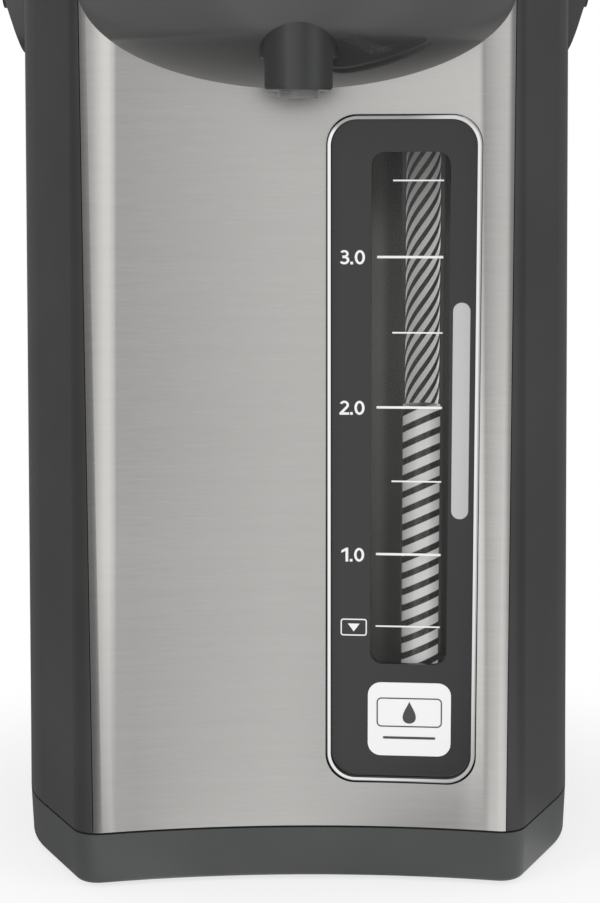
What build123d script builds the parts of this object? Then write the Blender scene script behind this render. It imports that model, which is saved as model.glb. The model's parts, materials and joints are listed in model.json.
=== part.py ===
"""Electric thermo pot: a free-standing 4 litre hot-water dispenser.

Units are millimetres and +Z is up.  The pot is drawn about the vertical axis of its water container,
with -Y towards the user, and every piece is moved back by axis_y when it is written, so that the
origin lies on the floor under the middle of the whole pot.
"""
from build123d import *
from math import atan2, cos, degrees, radians, sin, sqrt, tan
import os

# ---------------------------------------------------------------- driving dimensions
# Heights
foot_height = 1.2            # rubber feet under the base
base_height = 17.0           # visible dark band at the bottom
seam_gap = 0.7               # black seam between base and casing
casing_top = 289.0           # top of the outer case, underside of the shoulder ring
shoulder_height = 18.0       # moulded ring between case and lid
lid_rise = 31.0              # highest point of the lid above the shoulder

# Plan outline of the body, measured at the seam
body_half_width = 94.0       # sides and the radius of the round back
front_y = 101.0              # front face at the middle, from the container axis
front_hollow = 6.0           # how far the front corners stand ahead of its middle
hollow_half_width = 62.0     # half width over which that hollow is measured
side_run = 17.0              # width of the straight slanting stretch of each side
corner_radius = 9.0
side_angle = 63.0            # the side leaves the corner at this angle from the front
side_bow = 6.4               # and of the bow from there to the widest place
flare = 0.86                 # the body widens by this many degrees a side towards the floor

# Walls and clearances
sheet = 0.8                  # stainless front panel
case_wall = 2.2              # dark outer case
mould_wall = 2.4             # plastic housings
panel_setback = 3.8          # edge of the stainless panel inside the sharp corner
joint_gap = 0.25             # shadow gap between neighbouring outer pieces
slide_gap = 0.3              # round keys, lever and bolt
pin_clearance = 0.05         # radial, pins in their knuckles
lid_gap = 0.4                # between the lid and what it closes on

# Water container
container_room = 12.25       # between container and the widest place of the body
container_wall = 0.6
container_floor = 61.4       # inside
container_flange = 5.25      # width of the rolled flange under the shoulder ring
jacket_thickness = 2.0
jacket_gap = 0.3
container_corner = 12.0
mouth_step = 9.75            # bore of the shoulder ring inside the container
ledge_width = 4.0            # gasket's ledge round the filling opening
ledge_height = 3.5
litre_height = 47.6          # water height of one litre in a container of this radius
half_litre_mark = 85.0       # height of the lowest mark
mark_count = 7               # a mark every half litre

# Nose over the spout
nose_setback = 27.0          # centre of its round plan behind the front
nose_radius = 73.4
hull_drop = 3.0              # parting between hull and head below the case's top
hull_depth = 31.8            # depth of its elliptical bowl
head_slope = 22.0            # degrees, the control face rises towards the lid
head_setback = 29.0          # where the head ends and the lid begins, behind the front
head_drop = 8.0              # head's rear edge below the lid's highest point
top_step = 4.0               # head and lid stand this far inside the body's outline

# Spout
spout_reach = 29.0           # spout ahead of the front
spout_half_width = 9.9
spout_collar = 11.4          # radius of the round shoulder above the block
spout_depth = 31.6           # below the hull's parting
spout_block = 9.6            # height of the block below the collar
nozzle_radius = 5.95
nozzle_drop = 2.4
pipe_radius = 4.5
pipe_bore = 3.2

# Water gauge
gauge_x = 33.0
gauge_width = 48.5
gauge_below = 39.2           # plate below the window
gauge_above = 11.5           # and above it
gauge_corner = 9.6
gauge_turn = 5.5             # degrees about the vertical, following the hollow front
gauge_setback = 0.7          # printed face behind the front, at the gauge's centre
bezel_rim = 1.5
bezel_proud = 2.2
bezel_round = 0.6
plate_thickness = 1.6
window_x = 2.2               # window centre from the gauge's centre
window_width = 24.6
window_below = 12.1          # window below the lowest mark
window_above = 8.8           # and above the highest
window_corner = 4.2
pane_thickness = 1.0
tube_x = 5.7                 # tube centre from the gauge's centre
tube_radius = 6.0
tube_wall = 1.0
tube_play = 0.2              # between the tube and what is in front of and behind it
hose_rise = 18.8             # foot of the tube above the pump's outlet
card_thickness = 0.4
trough_wall = 1.2
trough_margin = 1.2          # trough wider than the window on each side
seal_radius = 7.4
seal_setback = 0.9           # seals sit this far behind the tube's axis
seal_length = 12.0

# Lid
lid_dome_radius = 420.0
lid_dome_y = 10.0
lid_wall = 2.6
lid_edge = 5.0               # rounding of the lid's top edge
plug_gap = 2.0               # inner lid inside the ledge
plug_lift = 1.5              # inner lid's floor above the case's top
plug_wall = 1.2
plug_edge = 2.0
steam_holes = 6
steam_hole_ring = 5.0
steam_hole_radius = 1.4
gasket_gap = 1.5             # gasket inside the bore
gasket_height = 4.5
gasket_edge = 1.2
vent_y = 48.0
vent_radius = 15.0
vent_slots = 5

# Lid hinge
hinge_behind = 3.5           # pin behind the widest round of the body
hinge_rise = 4.5             # pin above the shoulder
hinge_pin_radius = 2.5
hinge_knuckle_radius = 5.6
hinge_width = 64.0
hinge_lug = 10.0

# Latch in the lid
lever_width = 38.0
lever_length = 25.0
lever_thickness = 3.4
lever_heel = 1.6             # plate behind its own axis
lever_swing = 22.0           # degrees of lift
lever_pin_radius = 1.6
latch_recess_depth = 17.0
bolt_width = 16.0
bolt_height = 4.0
bolt_length = 14.0
bolt_travel = 4.0
guide_wall = 2.0

# Carrying handle
handle_pivot_y = 4.0
handle_pivot_rise = 7.0      # above the case's top
handle_room = 18.0           # inner face of the grip behind the body
handle_depth = 10.5          # arm thickness at the top
handle_lip = 3.0             # and at the bottom
handle_below = 24.0          # ears below the pivot
handle_above = 6.0           # and above it
handle_slant_above = 0.5     # the outer face leans out up to here
handle_bend = 60.0
handle_ear = 15.0            # ear in front of the pivot
handle_ear_round = 9.0
ear_length = 26.0            # full depth of the arm from the ear's tip
ear_fade = 34.0              # from there its underside rises to the bar
handle_bar_below = 10.0      # bar's underside below the pivot
handle_pin_radius = 5.0
handle_collar_radius = 9.0
handle_pin_head = 1.6

# Keys on the control face: name, x, distance up the slope, width, length
key_travel = 1.0
key_proud = 0.9
key_height = 5.2
key_corner = 3.0
key_edge = 0.6
fascia_thickness = 1.8
fascia_margin = 4.5
keys = (
    ("dispense", 0.0, 16.0, 34.0, 15.0),
    ("unlock", -33.0, 28.0, 19.0, 11.0),
    ("reboil", 33.0, 28.0, 19.0, 11.0),
    ("temperature", -43.0, 50.0, 19.0, 11.0),
    ("timer", 43.0, 50.0, 19.0, 11.0),
)
display_up = 48.0
display_width = 50.0
display_length = 26.0

# Works under the container
heater_margin = 23.75        # heater inside the container
heater_thickness = 5.0
pump_x = -24.0
pump_y = -44.0
pump_radius = 21.0
impeller_radius = 14.0
impeller_blades = 6
motor_radius = 17.0
motor_height = 22.0
motor_shaft_depth = 14.0     # length of the shaft inside the can
rotor_gap = 0.8              # magnet to pump, and impeller to the pump's floor
magnet_radius = 15.0
magnet_thickness = 4.0
magnet_lift = 2.0            # magnet above the motor can
shaft_radius = 1.5
board_thickness = 1.6
hose_radius = 5.0
hose_bend = 7.5

# Magnetic power inlet at the back
inlet_z = 44.0
inlet_width = 44.0
inlet_height = 21.0
inlet_depth = 13.0
inlet_wall = 2.0
inlet_flange = 3.0
inlet_pin_radius = 2.0
inlet_pin_spacing = 13.0
inlet_pin_length = 6.5
inlet_plate_x = 14.0
inlet_plate_width = 5.0
inlet_plate_thickness = 1.5

# Feet
foot_radius = 8.0
foot_inset = 26.0            # feet inside the widest round of the body
foot_thickness = 3.2

# Base
base_draw = 2.0              # degrees the skirt draws in towards the floor
base_edge = 2.0
rim_wall = 1.8               # upstand of the base inside the case
rim_height = 6.0
gasket_inset = 1.0
cover_top = 4.4
shelf_width = 8.0
vent_count = 7
vent_pitch = 7.0
vent_length = 16.0
vent_width = 2.5
vent_centre_y = 8.0

# Smaller features
foot_chamfer = 0.6
shoulder_edge = 3.0
head_edge = 2.4
hull_wall = 2.2
notch_margin = 1.6           # panel's notch round the outlet pipe
outlet_drop = 12.0           # outlet pipe below the hull's parting
pipe_rise = 3.4              # straight stretch over the valve
hose_swing = (16.0, 20.0)    # sideways and forward reach of the outlet hose's diagonal
valve_height = 13.0
valve_cap = 3.0              # wall over the ball, where the outlet pipe is plugged in
pipe_bend = 7.0
valve_ball_radius = 5.2
valve_play = 0.6
pipe_turn = 7.0              # sideways step of the outlet pipe on its way to the nose
spout_corner = 1.4           # hollow round where each flat runs into the shoulder
spout_edge = 1.0
board_drop = 7.2
board_half_width = 56.0
board_nose_half_width = 28.0
board_reach = (11.0, 40.0, 68.0)     # up the slope: nose end, full width from here, lid end
board_post_radius = 2.0
board_posts = ((-29.0, 44.0), (29.0, 44.0), (-13.0, 29.0), (13.0, 29.0))
switch_size = 6.0
board_spot = (34.0, 12.0)    # supply board under the container
board_standoff = 8.0
board_width = 46.0
board_length = 60.0
board_parts = (              # relay, coil: x, y, width, length, height
    (-8.0, 14.0, 18.0, 22.0, 16.0),
    (10.0, -12.0, 16.0, 16.0, 14.0),
)
capacitor = (-10.0, -14.0, 7.0, 18.0)    # x, y, radius, height
duct_radius = 9.0
duct_bore = 6.0
vent_depth = 4.0
vent_sink = 0.2              # vent cap below the lid's top at its lower side
vent_edge = 1.0
vent_slot_pitch = 3.6
vent_slot_width = 1.6
lever_drop = 8.0             # lever hinge below the lid's highest point
nozzle_seat = 6.0            # how far the nozzle reaches up into the spout
recess_start = 2.4
recess_length = 33.0
bolt_drop = 21.0
hinge_foot = 12.5            # lugs reach this far below the pin
handle_pin_root = 12.0
handle_head_radius = 8.0
inlet_proud = 1.2
thermostat_spot = (28.0, 22.0)
thermostat_radius = 9.0
thermostat_height = 6.0
thermostat_cap = 3.0
fuse_spot = (-14.0, 26.0)
fuse_length = 24.0
fuse_radius = 2.5
pump_neck_radius = 6.0
pump_cup_height = 13.0
blade_height = 7.0
blade_thickness = 1.5
hub_radius = 4.0
pump_wall = 3.5
spigot_length = 6.0
spigot_wall = 1.2
hose_bore = 3.4

# ---------------------------------------------------------------- values that follow
def dome_height(y):
    """Height of the lid's top over a point of the middle plane."""
    return overall_height - lid_dome_radius + sqrt(lid_dome_radius ** 2 - (y - lid_dome_y) ** 2)


seam_z = foot_height + base_height
casing_bottom = seam_z + seam_gap
shoulder_top = casing_top + shoulder_height
overall_height = shoulder_top + lid_rise
side_straight_end = body_half_width - side_bow
corner_x = side_straight_end - side_run
panel_half_width = corner_x - panel_setback
nose_centre_y = nose_setback - front_y
spout_y = -front_y - spout_reach
gauge_plane_y = gauge_setback - front_y
head_rear_y = head_setback - front_y
head_rear_z = overall_height - head_drop
hull_top = casing_top - hull_drop
spout_bottom = hull_top - spout_depth
spout_step = spout_bottom + spout_block
outlet_height = hull_top - outlet_drop
hinge_y = body_half_width + hinge_behind
hinge_z = shoulder_top + hinge_rise
hinge_foot_z = hinge_z - hinge_foot
handle_inner_x = body_half_width     # the arms hang in line with the widest place
handle_rear_y = body_half_width + handle_room
handle_pivot_z = casing_top + handle_pivot_rise
handle_low = handle_pivot_z - handle_below
handle_high = handle_pivot_z + handle_above
handle_slant_top = handle_pivot_z + handle_slant_above
handle_bar_low = handle_pivot_z - handle_bar_below
lid_bottom = shoulder_top + lid_gap
lean = tan(radians(flare))
slope = radians(head_slope)
nose_tip = nose_radius - nose_centre_y
handle_reach = handle_rear_y + handle_depth
axis_y = (nose_tip - handle_reach) / 2
hollow_radius = (hollow_half_width ** 2 + front_hollow ** 2) / (2 * front_hollow)
corner_y = front_y + hollow_radius - sqrt(hollow_radius ** 2 - corner_x ** 2)
container_radius = body_half_width - container_room
container_lip = container_radius + container_flange
mouth_radius = container_radius - mouth_step
ledge_radius = mouth_radius - ledge_width
plug_radius = ledge_radius - plug_gap
plug_bottom = casing_top + plug_lift
gasket_radius = mouth_radius - gasket_gap
heater_radius = container_radius - heater_margin
foot_ring = body_half_width - foot_inset
container_bottom = container_floor - container_wall
jacket_inner = container_radius + container_wall + jacket_gap
window_bottom = half_litre_mark - window_below
window_top = half_litre_mark + (mark_count - 1) * litre_height / 2 + window_above
gauge_bottom = window_bottom - gauge_below
gauge_top = window_top + gauge_above
window_centre_z = (window_bottom + window_top) / 2
gauge_centre_z = (gauge_bottom + gauge_top) / 2
gauge_height = gauge_top - gauge_bottom
window_height = window_top - window_bottom
pump_low = cover_top + motor_height + magnet_lift + magnet_thickness + rotor_gap
spigot_z = pump_low + mould_wall + 4.5
foot_step = foot_ring * sin(radians(45))
foot_places = [(x, y) for x in (-foot_step, foot_step) for y in (-foot_step, foot_step)]
lid_rear_y = body_half_width - (shoulder_top - seam_z) * lean - top_step
bolt_front = head_rear_y + lid_gap + slide_gap
bolt_low = overall_height - bolt_drop - bolt_height
recess_front = head_rear_y + lid_gap + recess_start
recess_rear = recess_front + recess_length
recess_floor = overall_height - latch_recess_depth
lever_axis_z = overall_height - lever_drop
lever_rise = dome_height(recess_rear) - lever_axis_z
lift = radians(lever_swing)
lever_axis_y = recess_rear - slide_gap - lever_heel * cos(lift) - lever_rise * sin(lift)
vent_floor = dome_height(vent_y + vent_radius) - vent_sink - vent_depth
BIG = 600.0


# ---------------------------------------------------------------- shared shapes
def block(x0, x1, y0, y1, z0, z1):
    """A box given by its limits."""
    return Pos((x0 + x1) / 2, (y0 + y1) / 2, (z0 + z1) / 2) * Box(x1 - x0, y1 - y0, z1 - z0)


def rod(x, y, z0, z1, radius):
    """A vertical cylinder."""
    return Pos(x, y, (z0 + z1) / 2) * Cylinder(radius, z1 - z0)


def cross_rod(x0, x1, y, z, radius):
    """A cylinder along X."""
    return Pos((x0 + x1) / 2, y, z) * Rot(0, 90, 0) * Cylinder(radius, x1 - x0)


def body_outline():
    """Plan of the body at the seam: hollow front, tight corners, sides bowing into a round back."""
    turn = radians(90 - side_angle)
    side_end_y = -corner_y + (side_straight_end - corner_x) * tan(radians(side_angle))
    bow = (body_half_width - side_straight_end) / (1 - cos(turn))
    bow_end_y = side_end_y + bow * sin(turn)
    edges = [ThreePointArc((-corner_x, -corner_y), (0, -front_y), (corner_x, -corner_y))]
    for side in (1, -1):
        start = (side * corner_x, -corner_y)
        straight_end = (side * side_straight_end, side_end_y)
        bow_end = (side * body_half_width, bow_end_y)
        heading = (side * cos(radians(side_angle)), sin(radians(side_angle)))
        edges.append(Line(start, straight_end))
        edges.append(TangentArc(straight_end, bow_end, tangent=heading))
        edges.append(Line(bow_end, (side * body_half_width, 0)))
    edges.append(ThreePointArc((-body_half_width, 0), (0, body_half_width), (body_half_width, 0)))
    face = make_face(edges)
    corners = [v for v in face.vertices() if v.Y < -corner_y + 0.01]
    return fillet(corners, corner_radius)


def body_prism(low, high, inset=0.0):
    """The leaning body between two heights, drawn in by inset all round."""
    shrink = inset + (low - seam_z) * lean
    face = offset(body_outline(), -shrink) if abs(shrink) > 1e-6 else body_outline()
    return extrude(Pos(0, 0, low) * face, amount=high - low, taper=flare)


def dome(drop=0.0):
    """The ball whose cap shapes the lid."""
    return Pos(0, lid_dome_y, overall_height - lid_dome_radius) * Sphere(lid_dome_radius - drop)


def slope_height(y, drop=0.0):
    """Height of the control face above the floor at a given y."""
    return head_rear_z - drop / cos(slope) + (y - head_rear_y) * tan(slope)


def slope_cut(drop=0.0):
    """Everything under the control face, or under a face drop below it."""
    front = -BIG / 2
    rear = head_rear_y + BIG / 4
    profile = Polyline((front, 0), (rear, 0), (rear, slope_height(rear, drop)),
                       (front, slope_height(front, drop)), close=True)
    return extrude(Plane.YZ * make_face(profile), amount=BIG / 2, both=True)


# Frame on the control face: x to the right, y up the slope from its lower end, z out of the face
fascia_low_y = -nose_tip
fascia_plane = Plane(origin=(0, fascia_low_y, slope_height(fascia_low_y)), x_dir=(1, 0, 0),
                     z_dir=(0, -sin(slope), cos(slope)))


def on_fascia(shape):
    """Carry a shape drawn flat onto the control face."""
    return fascia_plane.location * shape


def bowl(radius, depth):
    """Lower half of a round bowl with an elliptical profile, rim at hull_top."""
    profile = Ellipse(radius, depth) & Pos(radius / 2, -depth / 2) * Rectangle(radius, depth)
    return Pos(0, nose_centre_y, hull_top) * revolve(Plane.XZ * profile, axis=Axis.Z)


def gauge_point(x, depth):
    """Plan position of a point x across the gauge and depth behind its face."""
    turn = radians(gauge_turn)
    return (gauge_x + x * cos(turn) + depth * sin(turn), gauge_plane_y - x * sin(turn) + depth * cos(turn))


tube_depth = plate_thickness + pane_thickness + tube_play + tube_radius
card_depth = tube_depth + tube_radius + tube_play
tube_spot = gauge_point(tube_x, tube_depth)
seal_spot = gauge_point(tube_x, tube_depth + seal_setback)
tube_low = spigot_z + hose_rise
tube_high = outlet_height - pipe_bend - pipe_rise - valve_height


# ---------------------------------------------------------------- base
def tray(low, high, inset):
    """Plan of the base between two heights; its wall draws in towards the floor."""
    lean_in = radians(base_draw)
    face = offset(body_outline(), -(inset + (seam_z - low) * tan(lean_in)))
    return extrude(Pos(0, 0, low) * face, amount=high - low, taper=-base_draw)


def base_shell():
    """Moulded skirt with a shelf for the cover and an upstand inside the case."""
    wall = case_wall + joint_gap + rim_wall
    skirt = tray(foot_height, seam_z, 0)
    skirt = fillet(skirt.edges().group_by(Axis.Z)[0], base_edge)
    upstand = body_prism(seam_z, seam_z + rim_height, case_wall + joint_gap)
    inside = tray(foot_height - 1, seam_z, wall) + body_prism(seam_z, seam_z + rim_height + 1, wall)
    shelf = tray(cover_top, cover_top + mould_wall, wall)
    shelf -= tray(cover_top, cover_top + mould_wall, wall + shelf_width)
    return skirt + upstand - inside + shelf


def bottom_cover():
    """Plate under the works, with pockets for the feet and rows of air slots."""
    wall = case_wall + joint_gap + rim_wall
    plate = tray(cover_top - mould_wall, cover_top, wall + joint_gap)
    for x, y in foot_places:
        plate -= rod(x, y, 0, foot_thickness, foot_radius + slide_gap)
    for place in GridLocations(vent_pitch, vent_length * 1.6, vent_count, 2):
        slot = Pos(place.position.X, place.position.Y + vent_centre_y, cover_top)
        plate -= slot * Box(vent_width, vent_length, 4 * mould_wall)
    return plate


def foot(x, y):
    """One rubber foot, seated in its pocket."""
    pad = rod(x, y, 0, foot_thickness, foot_radius)
    return chamfer(pad.edges().group_by(Axis.Z)[0], foot_chamfer)


def seam_gasket():
    """Black seal that shows as the seam between base and case."""
    ring = body_prism(seam_z, casing_bottom, gasket_inset)
    return ring - body_prism(seam_z - 1, casing_bottom + 1, case_wall + joint_gap)


# ---------------------------------------------------------------- outer case
def front_zone(half_width, low=casing_bottom, high=casing_top):
    """Everything in front of the container within half_width of the middle."""
    return block(-half_width, half_width, -BIG / 2, -container_radius * 0.7, low - 1, high + 1)


def inlet_opening(margin):
    """Rectangular hole through the back of the case."""
    half_width = inlet_width / 2 + margin
    half_height = inlet_height / 2 + margin
    return block(-half_width, half_width, 0, BIG / 2, inlet_z - half_height, inlet_z + half_height)


def side_casing():
    """Dark wrap-around case, open at the front for the steel panel."""
    shell = body_prism(casing_bottom, casing_top) - body_prism(casing_bottom - 1, casing_top + 1, case_wall)
    return shell - front_zone(panel_half_width + joint_gap) - inlet_opening(joint_gap)


def front_panel():
    """Hollow-faced stainless sheet with the gauge's opening and a notch for the outlet pipe."""
    skin = body_prism(casing_bottom, casing_top) - body_prism(casing_bottom - 1, casing_top + 1, sheet)
    skin &= front_zone(panel_half_width)
    skin -= gauge_slab(gauge_width + joint_gap, gauge_height + joint_gap, gauge_corner, 0, gauge_centre_z,
                       -BIG / 20, BIG / 20)
    reach = pipe_radius + notch_margin
    return skin - block(tube_spot[0] - pipe_turn - reach, tube_spot[0] + reach, -BIG / 2, 0,
                        outlet_height - reach, casing_top + 1)


# ---------------------------------------------------------------- water gauge
def gauge_slab(width, height, corner, x, z, front, back):
    """A rounded upright plate between two depths behind the gauge's face."""
    turn = radians(gauge_turn)
    frame = Plane(origin=(gauge_x, gauge_plane_y, z), x_dir=(cos(turn), -sin(turn), 0),
                  z_dir=(-sin(turn), -cos(turn), 0))
    sketch = Pos(x, 0, -back) * RectangleRounded(width, height, corner)
    return extrude(frame.location * sketch, amount=back - front)


def gauge_depth(point):
    """How far a point lies behind the gauge's face."""
    turn = radians(gauge_turn)
    return (point.X - gauge_x) * sin(turn) + (point.Y - gauge_plane_y) * cos(turn)


def gauge_bezel():
    """Bright rim, standing off the panel, that frames the gauge."""
    outer = gauge_slab(gauge_width, gauge_height, gauge_corner, 0, gauge_centre_z,
                       -bezel_proud, plate_thickness)
    rim = [edge for edge in outer.edges() if gauge_depth(edge.center()) < -bezel_proud + 0.01]
    outer = fillet(rim, bezel_round)
    inner = gauge_slab(gauge_width - 2 * bezel_rim, gauge_height - 2 * bezel_rim, gauge_corner - bezel_rim,
                       0, gauge_centre_z, -2 * bezel_proud, 2 * plate_thickness)
    return outer - inner


def gauge_plate():
    """Dark printed plate with the long window."""
    trim = 2 * (bezel_rim + joint_gap / 2)
    plate = gauge_slab(gauge_width - trim, gauge_height - trim, gauge_corner - trim / 2,
                       0, gauge_centre_z, 0, plate_thickness)
    return plate - gauge_slab(window_width, window_height, window_corner, window_x, window_centre_z,
                              -plate_thickness, 2 * plate_thickness)


def gauge_window():
    """Smoked pane behind the plate's window."""
    margin = 2 * trough_margin
    return gauge_slab(window_width + margin, window_height + margin, window_corner, window_x, window_centre_z,
                      plate_thickness, plate_thickness + pane_thickness)


def gauge_trough():
    """Channel behind the pane that hides the works and holds the sight tube."""
    margin = 2 * (trough_margin + joint_gap)
    wall = 2 * trough_wall
    width = window_width + margin
    height = window_height + margin
    back = card_depth + card_thickness
    outer = gauge_slab(width + wall, height + wall, window_corner, window_x, window_centre_z,
                       plate_thickness, back + trough_wall)
    inner = gauge_slab(width, height, window_corner, window_x, window_centre_z, 0, back)
    return outer - inner - rod(*tube_spot, tube_low, tube_high, tube_radius + tube_play)


def stripe_card():
    """Card behind the tube, whose slanting stripes show the water level."""
    return gauge_slab(2 * tube_radius + 1.6, window_height, 0.8, tube_x, window_centre_z,
                      card_depth, card_depth + card_thickness)


def sight_tube():
    """Glass tube that the water stands in."""
    return rod(*tube_spot, tube_low, tube_high, tube_radius) - rod(*tube_spot, tube_low - 1, tube_high + 1,
                                                                   tube_radius - tube_wall)


def tube_seal():
    """Rubber elbow cap at the foot of the tube."""
    cap = rod(*seal_spot, tube_low - seal_length / 2, tube_low + seal_length / 2, seal_radius)
    cap -= rod(*tube_spot, tube_low, tube_low + seal_length, tube_radius)
    return cap - rod(*tube_spot, tube_low - seal_length, tube_low + 1, hose_radius)


def tip_over_valve():
    """Housing on top of the tube, whose ball shuts the outlet when the pot falls over."""
    top = tube_high + valve_height
    body = rod(*seal_spot, tube_high - seal_length / 2, top, seal_radius)
    body -= rod(*tube_spot, tube_high - seal_length, tube_high, tube_radius)
    body -= rod(*tube_spot, tube_high - 1, top - valve_cap, valve_ball_radius + valve_play)
    return body - rod(*tube_spot, tube_high, top + 1, pipe_radius)


def valve_ball():
    """Loose steel ball, lying on the end of the tube."""
    seat = tube_high + sqrt(valve_ball_radius ** 2 - (tube_radius - tube_wall) ** 2)
    return Pos(*tube_spot, seat) * Sphere(valve_ball_radius)


# ---------------------------------------------------------------- water container
def container():
    """Deep-drawn steel pot with a rounded bottom and a flange under the shoulder ring."""
    outer = rod(0, 0, container_bottom, casing_top, container_radius + container_wall)
    outer = fillet(outer.edges().group_by(Axis.Z)[0], container_corner)
    flange = rod(0, 0, casing_top - container_wall, casing_top, container_lip)
    inner = rod(0, 0, container_floor, casing_top + BIG, container_radius)
    inner = fillet(inner.edges().group_by(Axis.Z)[0], container_corner - container_wall)
    return outer + flange - inner - rod(pump_x, pump_y, 0, container_floor + 1, pipe_bore)


def insulation_jacket():
    """Insulating sleeve round the container."""
    low = container_floor + container_corner
    high = casing_top - container_corner
    return rod(0, 0, low, high, jacket_inner + jacket_thickness) - rod(0, 0, low - 1, high + 1, jacket_inner)


def heater_plate():
    """Cast heater pressed against the container's floor, with a hole for the suction pipe."""
    plate = rod(0, 0, container_bottom - heater_thickness, container_bottom, heater_radius)
    return plate - rod(pump_x, pump_y, 0, container_bottom + 1, pump_neck_radius + 1)


def thermostat():
    """Disc thermostat under the heater."""
    low = container_bottom - heater_thickness - thermostat_height
    can = rod(*thermostat_spot, low, low + thermostat_height, thermostat_radius)
    return can + rod(*thermostat_spot, low - thermostat_cap, low, thermostat_radius * 0.6)


def thermal_fuse():
    """Fuse in its sleeve, held flat against the heater."""
    low = container_bottom - heater_thickness - fuse_radius * 2
    return Pos(*fuse_spot, low + fuse_radius) * Box(fuse_length, fuse_radius * 2, fuse_radius * 2)


# ---------------------------------------------------------------- pump and motor
def pump_body():
    """Cup of the centrifugal pump, with the fixed pin its impeller turns on and a side outlet."""
    top = pump_low + pump_cup_height
    cup = rod(pump_x, pump_y, pump_low, top, pump_radius)
    chamber = rod(pump_x, pump_y, pump_low + mould_wall, top + 1, pump_radius - pump_wall)
    pin = rod(pump_x, pump_y, pump_low + mould_wall, top - 1, shaft_radius)
    rim_x = pump_x + pump_radius
    tip_x = rim_x + spigot_length
    spigot = cross_rod(rim_x - pump_wall - 1, tip_x, pump_y, spigot_z, hose_bore)
    bore = cross_rod(rim_x - pump_wall - 2, tip_x + 1, pump_y, spigot_z, hose_bore - spigot_wall)
    return cup + spigot - chamber - bore + pin


def pump_cover():
    """Lid of the pump with the neck up to the container's floor."""
    low = pump_low + pump_cup_height
    plate = rod(pump_x, pump_y, low, low + mould_wall, pump_radius)
    neck = rod(pump_x, pump_y, low, container_bottom, pump_neck_radius)
    return plate + neck - rod(pump_x, pump_y, low - 1, container_bottom + 1, pipe_bore)


def pump_impeller():
    """Disc with radial blades, running on the pump's pin."""
    low = pump_low + mould_wall + rotor_gap
    wheel = rod(pump_x, pump_y, low, low + blade_thickness, impeller_radius)
    wheel += rod(pump_x, pump_y, low, low + blade_height, hub_radius)
    for turn in range(impeller_blades):
        blade = Pos(impeller_radius / 2, 0, low + blade_height / 2)
        blade *= Box(impeller_radius - 1, blade_thickness, blade_height)
        wheel += Pos(pump_x, pump_y, 0) * Rot(0, 0, turn * 360 / impeller_blades) * blade
    return wheel - rod(pump_x, pump_y, low - 1, low + blade_height + 1, shaft_radius + pin_clearance)


def motor():
    """Motor can standing on the bottom cover, with the bore of its shaft."""
    can = rod(pump_x, pump_y, cover_top, cover_top + motor_height, motor_radius)
    top = cover_top + motor_height
    return can - rod(pump_x, pump_y, top - motor_shaft_depth - 2, top + 1, shaft_radius + pin_clearance)


def motor_rotor():
    """Shaft and magnet disc that drags the impeller round through the pump's floor."""
    disc_top = pump_low - rotor_gap
    disc_low = disc_top - magnet_thickness
    disc = rod(pump_x, pump_y, disc_low, disc_top, magnet_radius)
    return disc + rod(pump_x, pump_y, cover_top + motor_height - motor_shaft_depth, disc_low, shaft_radius)


def bent_pipe(points, radii, outer, inner):
    """A round pipe along straight runs joined by arcs."""
    path = FilletPolyline(*points, radius=radii)
    start = Plane(origin=path @ 0, z_dir=path % 0)
    solid = sweep(start * Circle(outer), path=path)
    return solid - sweep(start * Circle(inner), path=path)


def outlet_hose():
    """Hose from the pump to the foot of the sight tube."""
    x, y = tube_spot
    start_x = pump_x + pump_radius + 1
    sideways, forward = hose_swing
    points = ((start_x, pump_y, spigot_z), (x - sideways, pump_y, spigot_z), (x, pump_y - forward, spigot_z),
              (x, y, spigot_z), (x, y, tube_low))
    return bent_pipe(points, hose_bend, hose_radius, hose_bore)


def outlet_pipe():
    """Pipe from the valve over into the nose and down to the nozzle."""
    x, y = tube_spot
    top = outlet_height
    points = ((x, y, tube_high + valve_height - valve_cap), (x, y, top), (x - pipe_turn, spout_y + 16, top),
              (0, spout_y, top), (0, spout_y, spout_bottom))
    return bent_pipe(points, pipe_bend, pipe_radius, pipe_bore)


# ---------------------------------------------------------------- nose, head and spout
def hull():
    """Glossy bowl under the nose, closed behind by the body's front."""
    shell = bowl(nose_radius, hull_depth) - bowl(nose_radius - hull_wall, hull_depth - hull_wall)
    shell -= body_prism(seam_z, casing_top + 10, -joint_gap / 2)
    return shell - rod(0, spout_y, spout_bottom - 10, hull_top, pipe_radius + joint_gap)


def spout_housing():
    """Round spout with a flat on each side below its shoulder, hiding the outlet pipe."""
    body = rod(0, spout_y, spout_bottom, hull_top, spout_collar)
    for side in (1, -1):
        near, far = sorted((side * spout_half_width, side * 2 * spout_collar))
        flat = block(near, far, spout_y - 2 * spout_collar, spout_y + 2 * spout_collar,
                     spout_bottom - spout_collar, spout_step)
        inner = [edge for edge in flat.edges() if abs(edge.center().X - side * spout_half_width) < 0.01
                 and abs(edge.center().Z - spout_step) < 0.01]
        body -= fillet(inner, spout_corner)
    body = fillet(body.edges().group_by(Axis.Z)[0], spout_edge)
    body -= bowl(nose_radius, hull_depth)
    body -= rod(0, spout_y, 0, spout_bottom + nozzle_seat, nozzle_radius + pin_clearance)
    return body - rod(0, spout_y, 0, hull_top, pipe_radius + joint_gap)


def nozzle():
    """Clear ring that the outlet pipe ends in."""
    top = spout_bottom + nozzle_seat
    ring = rod(0, spout_y, spout_bottom - nozzle_drop, top, nozzle_radius)
    ring = fillet(ring.edges().group_by(Axis.Z)[0], 0.8)
    ring -= rod(0, spout_y, 0, top + 1, pipe_bore)
    return ring - rod(0, spout_y, spout_bottom, top + 1, pipe_radius + pin_clearance)


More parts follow.
